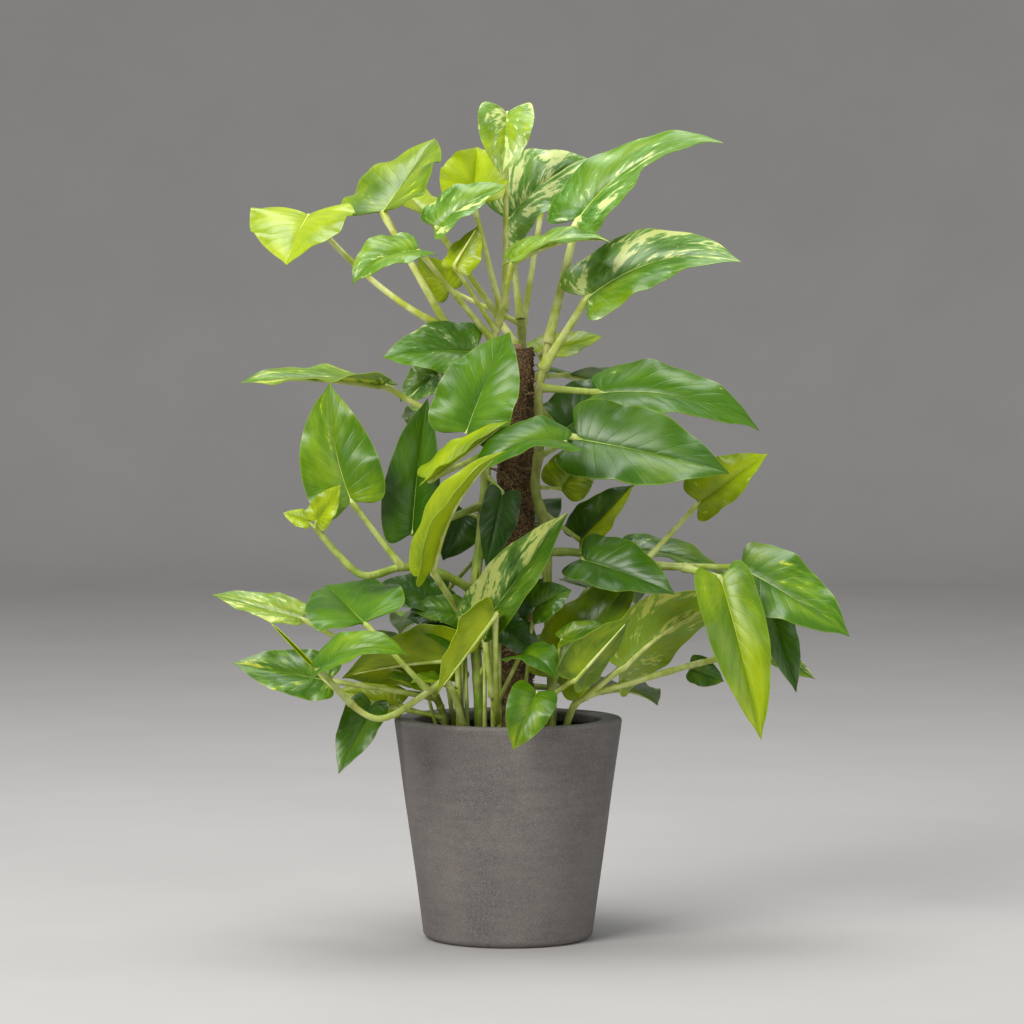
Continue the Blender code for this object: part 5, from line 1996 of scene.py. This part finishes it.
@dataclass
class Studio:
    """A pale floor that curves up behind, soft lights and the camera."""

    camera_place: Point = (0.0038, -3.6, 0.545)
    pitch: float = 2.13
    lens: float = 131.4
    sensor: float = 36
    sight: float = 50
    floor_radius: float = 6.0
    bend: float = 1.2
    bend_steps: int = 8
    wall_height: float = 1.0
    floor_greys: Shades = ((0.350, 0.335, 0.322), (0.410, 0.394, 0.380))
    sky: Colour = (0.80, 0.83, 0.86)
    sky_strength: float = 0.54
    lamps: tuple[Lamp, ...] = (
        Lamp("window", (-2.3, -3.1, 3.0), 0.35, 2.0, 205, (1.0, 0.985, 0.96)),
        Lamp("overhead", (-0.2, 0.2, 3.6), 0.3, 2.0, 108, (0.97, 0.985, 1.0)),
        Lamp("fill", (2.6, -2.4, 1.4), 0.3, 2.4, 30, (1.0, 0.99, 0.97)),
    )

    def cove(self) -> None:
        """The floor: a disc whose edge is extruded out and up in a curve, all round."""
        Bench.clear()
        bpy.ops.mesh.primitive_circle_add(vertices=96, radius=self.floor_radius, fill_type="NGON")
        sweep = bpy.context.object
        sweep.name = "studio_cove"
        bpy.ops.object.mode_set(mode="EDIT")
        bpy.ops.mesh.select_all(action="SELECT")
        bpy.ops.mesh.region_to_loop()
        radius, height = self.floor_radius, 0.0
        for turn in range(1, self.bend_steps + 1):
            angle = math.radians(turn * 90 / self.bend_steps)
            new_radius = self.floor_radius + self.bend * math.sin(angle)
            new_height = self.bend * (1 - math.cos(angle)) + self.wall_height * (turn == self.bend_steps)
            bpy.ops.mesh.extrude_edges_move(TRANSFORM_OT_translate={"value": (0, 0, new_height - height)})
            share = new_radius / radius
            bpy.ops.transform.resize(value=(share, share, 1), center_override=(0, 0, new_height))
            radius, height = new_radius, new_height
        bpy.ops.object.mode_set(mode="OBJECT")
        Bench.smooth(sweep, 60)
        shop = NodeShop("pale_floor")
        tone = shop.blend(shop.noise(shop.place(), 3, 4, 0.6), *self.floor_greys)
        Bench.dress(sweep, shop.surface(Base_Color=tone, Roughness=0.8))

    def build(self) -> None:
        """Sets the floor, the lights, the sky and the camera."""
        self.cove()
        for lamp in self.lamps:
            lamp.hang()
        world = bpy.data.worlds.new("studio")
        world.use_nodes = True
        sky = world.node_tree.nodes["Background"]
        sky.inputs["Color"].default_value = (*self.sky, 1)
        sky.inputs["Strength"].default_value = self.sky_strength
        bpy.context.scene.world = world
        Bench.clear()
        bpy.ops.object.camera_add(location=self.camera_place, rotation=(math.radians(90 - self.pitch), 0, 0))
        camera = bpy.context.object
        camera.data.lens = self.lens
        camera.data.sensor_width = self.sensor
        camera.data.clip_end = self.sight
        bpy.context.scene.camera = camera
        bpy.context.scene.view_settings.view_transform = "Standard"


def main() -> None:
    """Builds each sub-assembly in order."""
    logging.basicConfig(level=logging.INFO, format="%(name)s: %(message)s")
    planter_low, planter_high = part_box("planter")
    pot_low, pot_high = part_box("grow_pot")
    soil_low, soil_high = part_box("potting_soil")
    sleeve_low, sleeve_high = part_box("coir_sleeve")
    ground = Ground(planter_high[2])
    pole = ((sleeve_low[0] + sleeve_high[0]) / 2, (sleeve_low[1] + sleeve_high[1]) / 2)
    pole_radius = (sleeve_high[0] - sleeve_low[0]) / 2

    rim_radius = (planter_high[0] - planter_low[0]) / 2
    Planter(CastStone(planter_high[2], rim_radius), planter_high[2], rim_radius).build()
    NurseryPot(MouldedBlack(), pot_high[2], pot_low[2]).build()
    soil_radius = (soil_high[0] - soil_low[0]) / 2
    Soil(PottingMix(), soil_high[2], soil_low[2], soil_radius).build()
    skin = GreenStalk().build()
    span = (sleeve_low[2], sleeve_high[2])
    CoirPole(ground, CoirFibre(), SawnWood(), DryRoot(), pole, pole_radius, *span).build()
    foliage = Foliage(ground, WaxyLeaf(Face.UPPER).build(), WaxyLeaf(Face.UNDER).build(), skin)
    foliage.build()
    Vines(ground, foliage, skin, soil_high[2]).build()
    Studio().build()


if __name__ == "__main__":
    main()
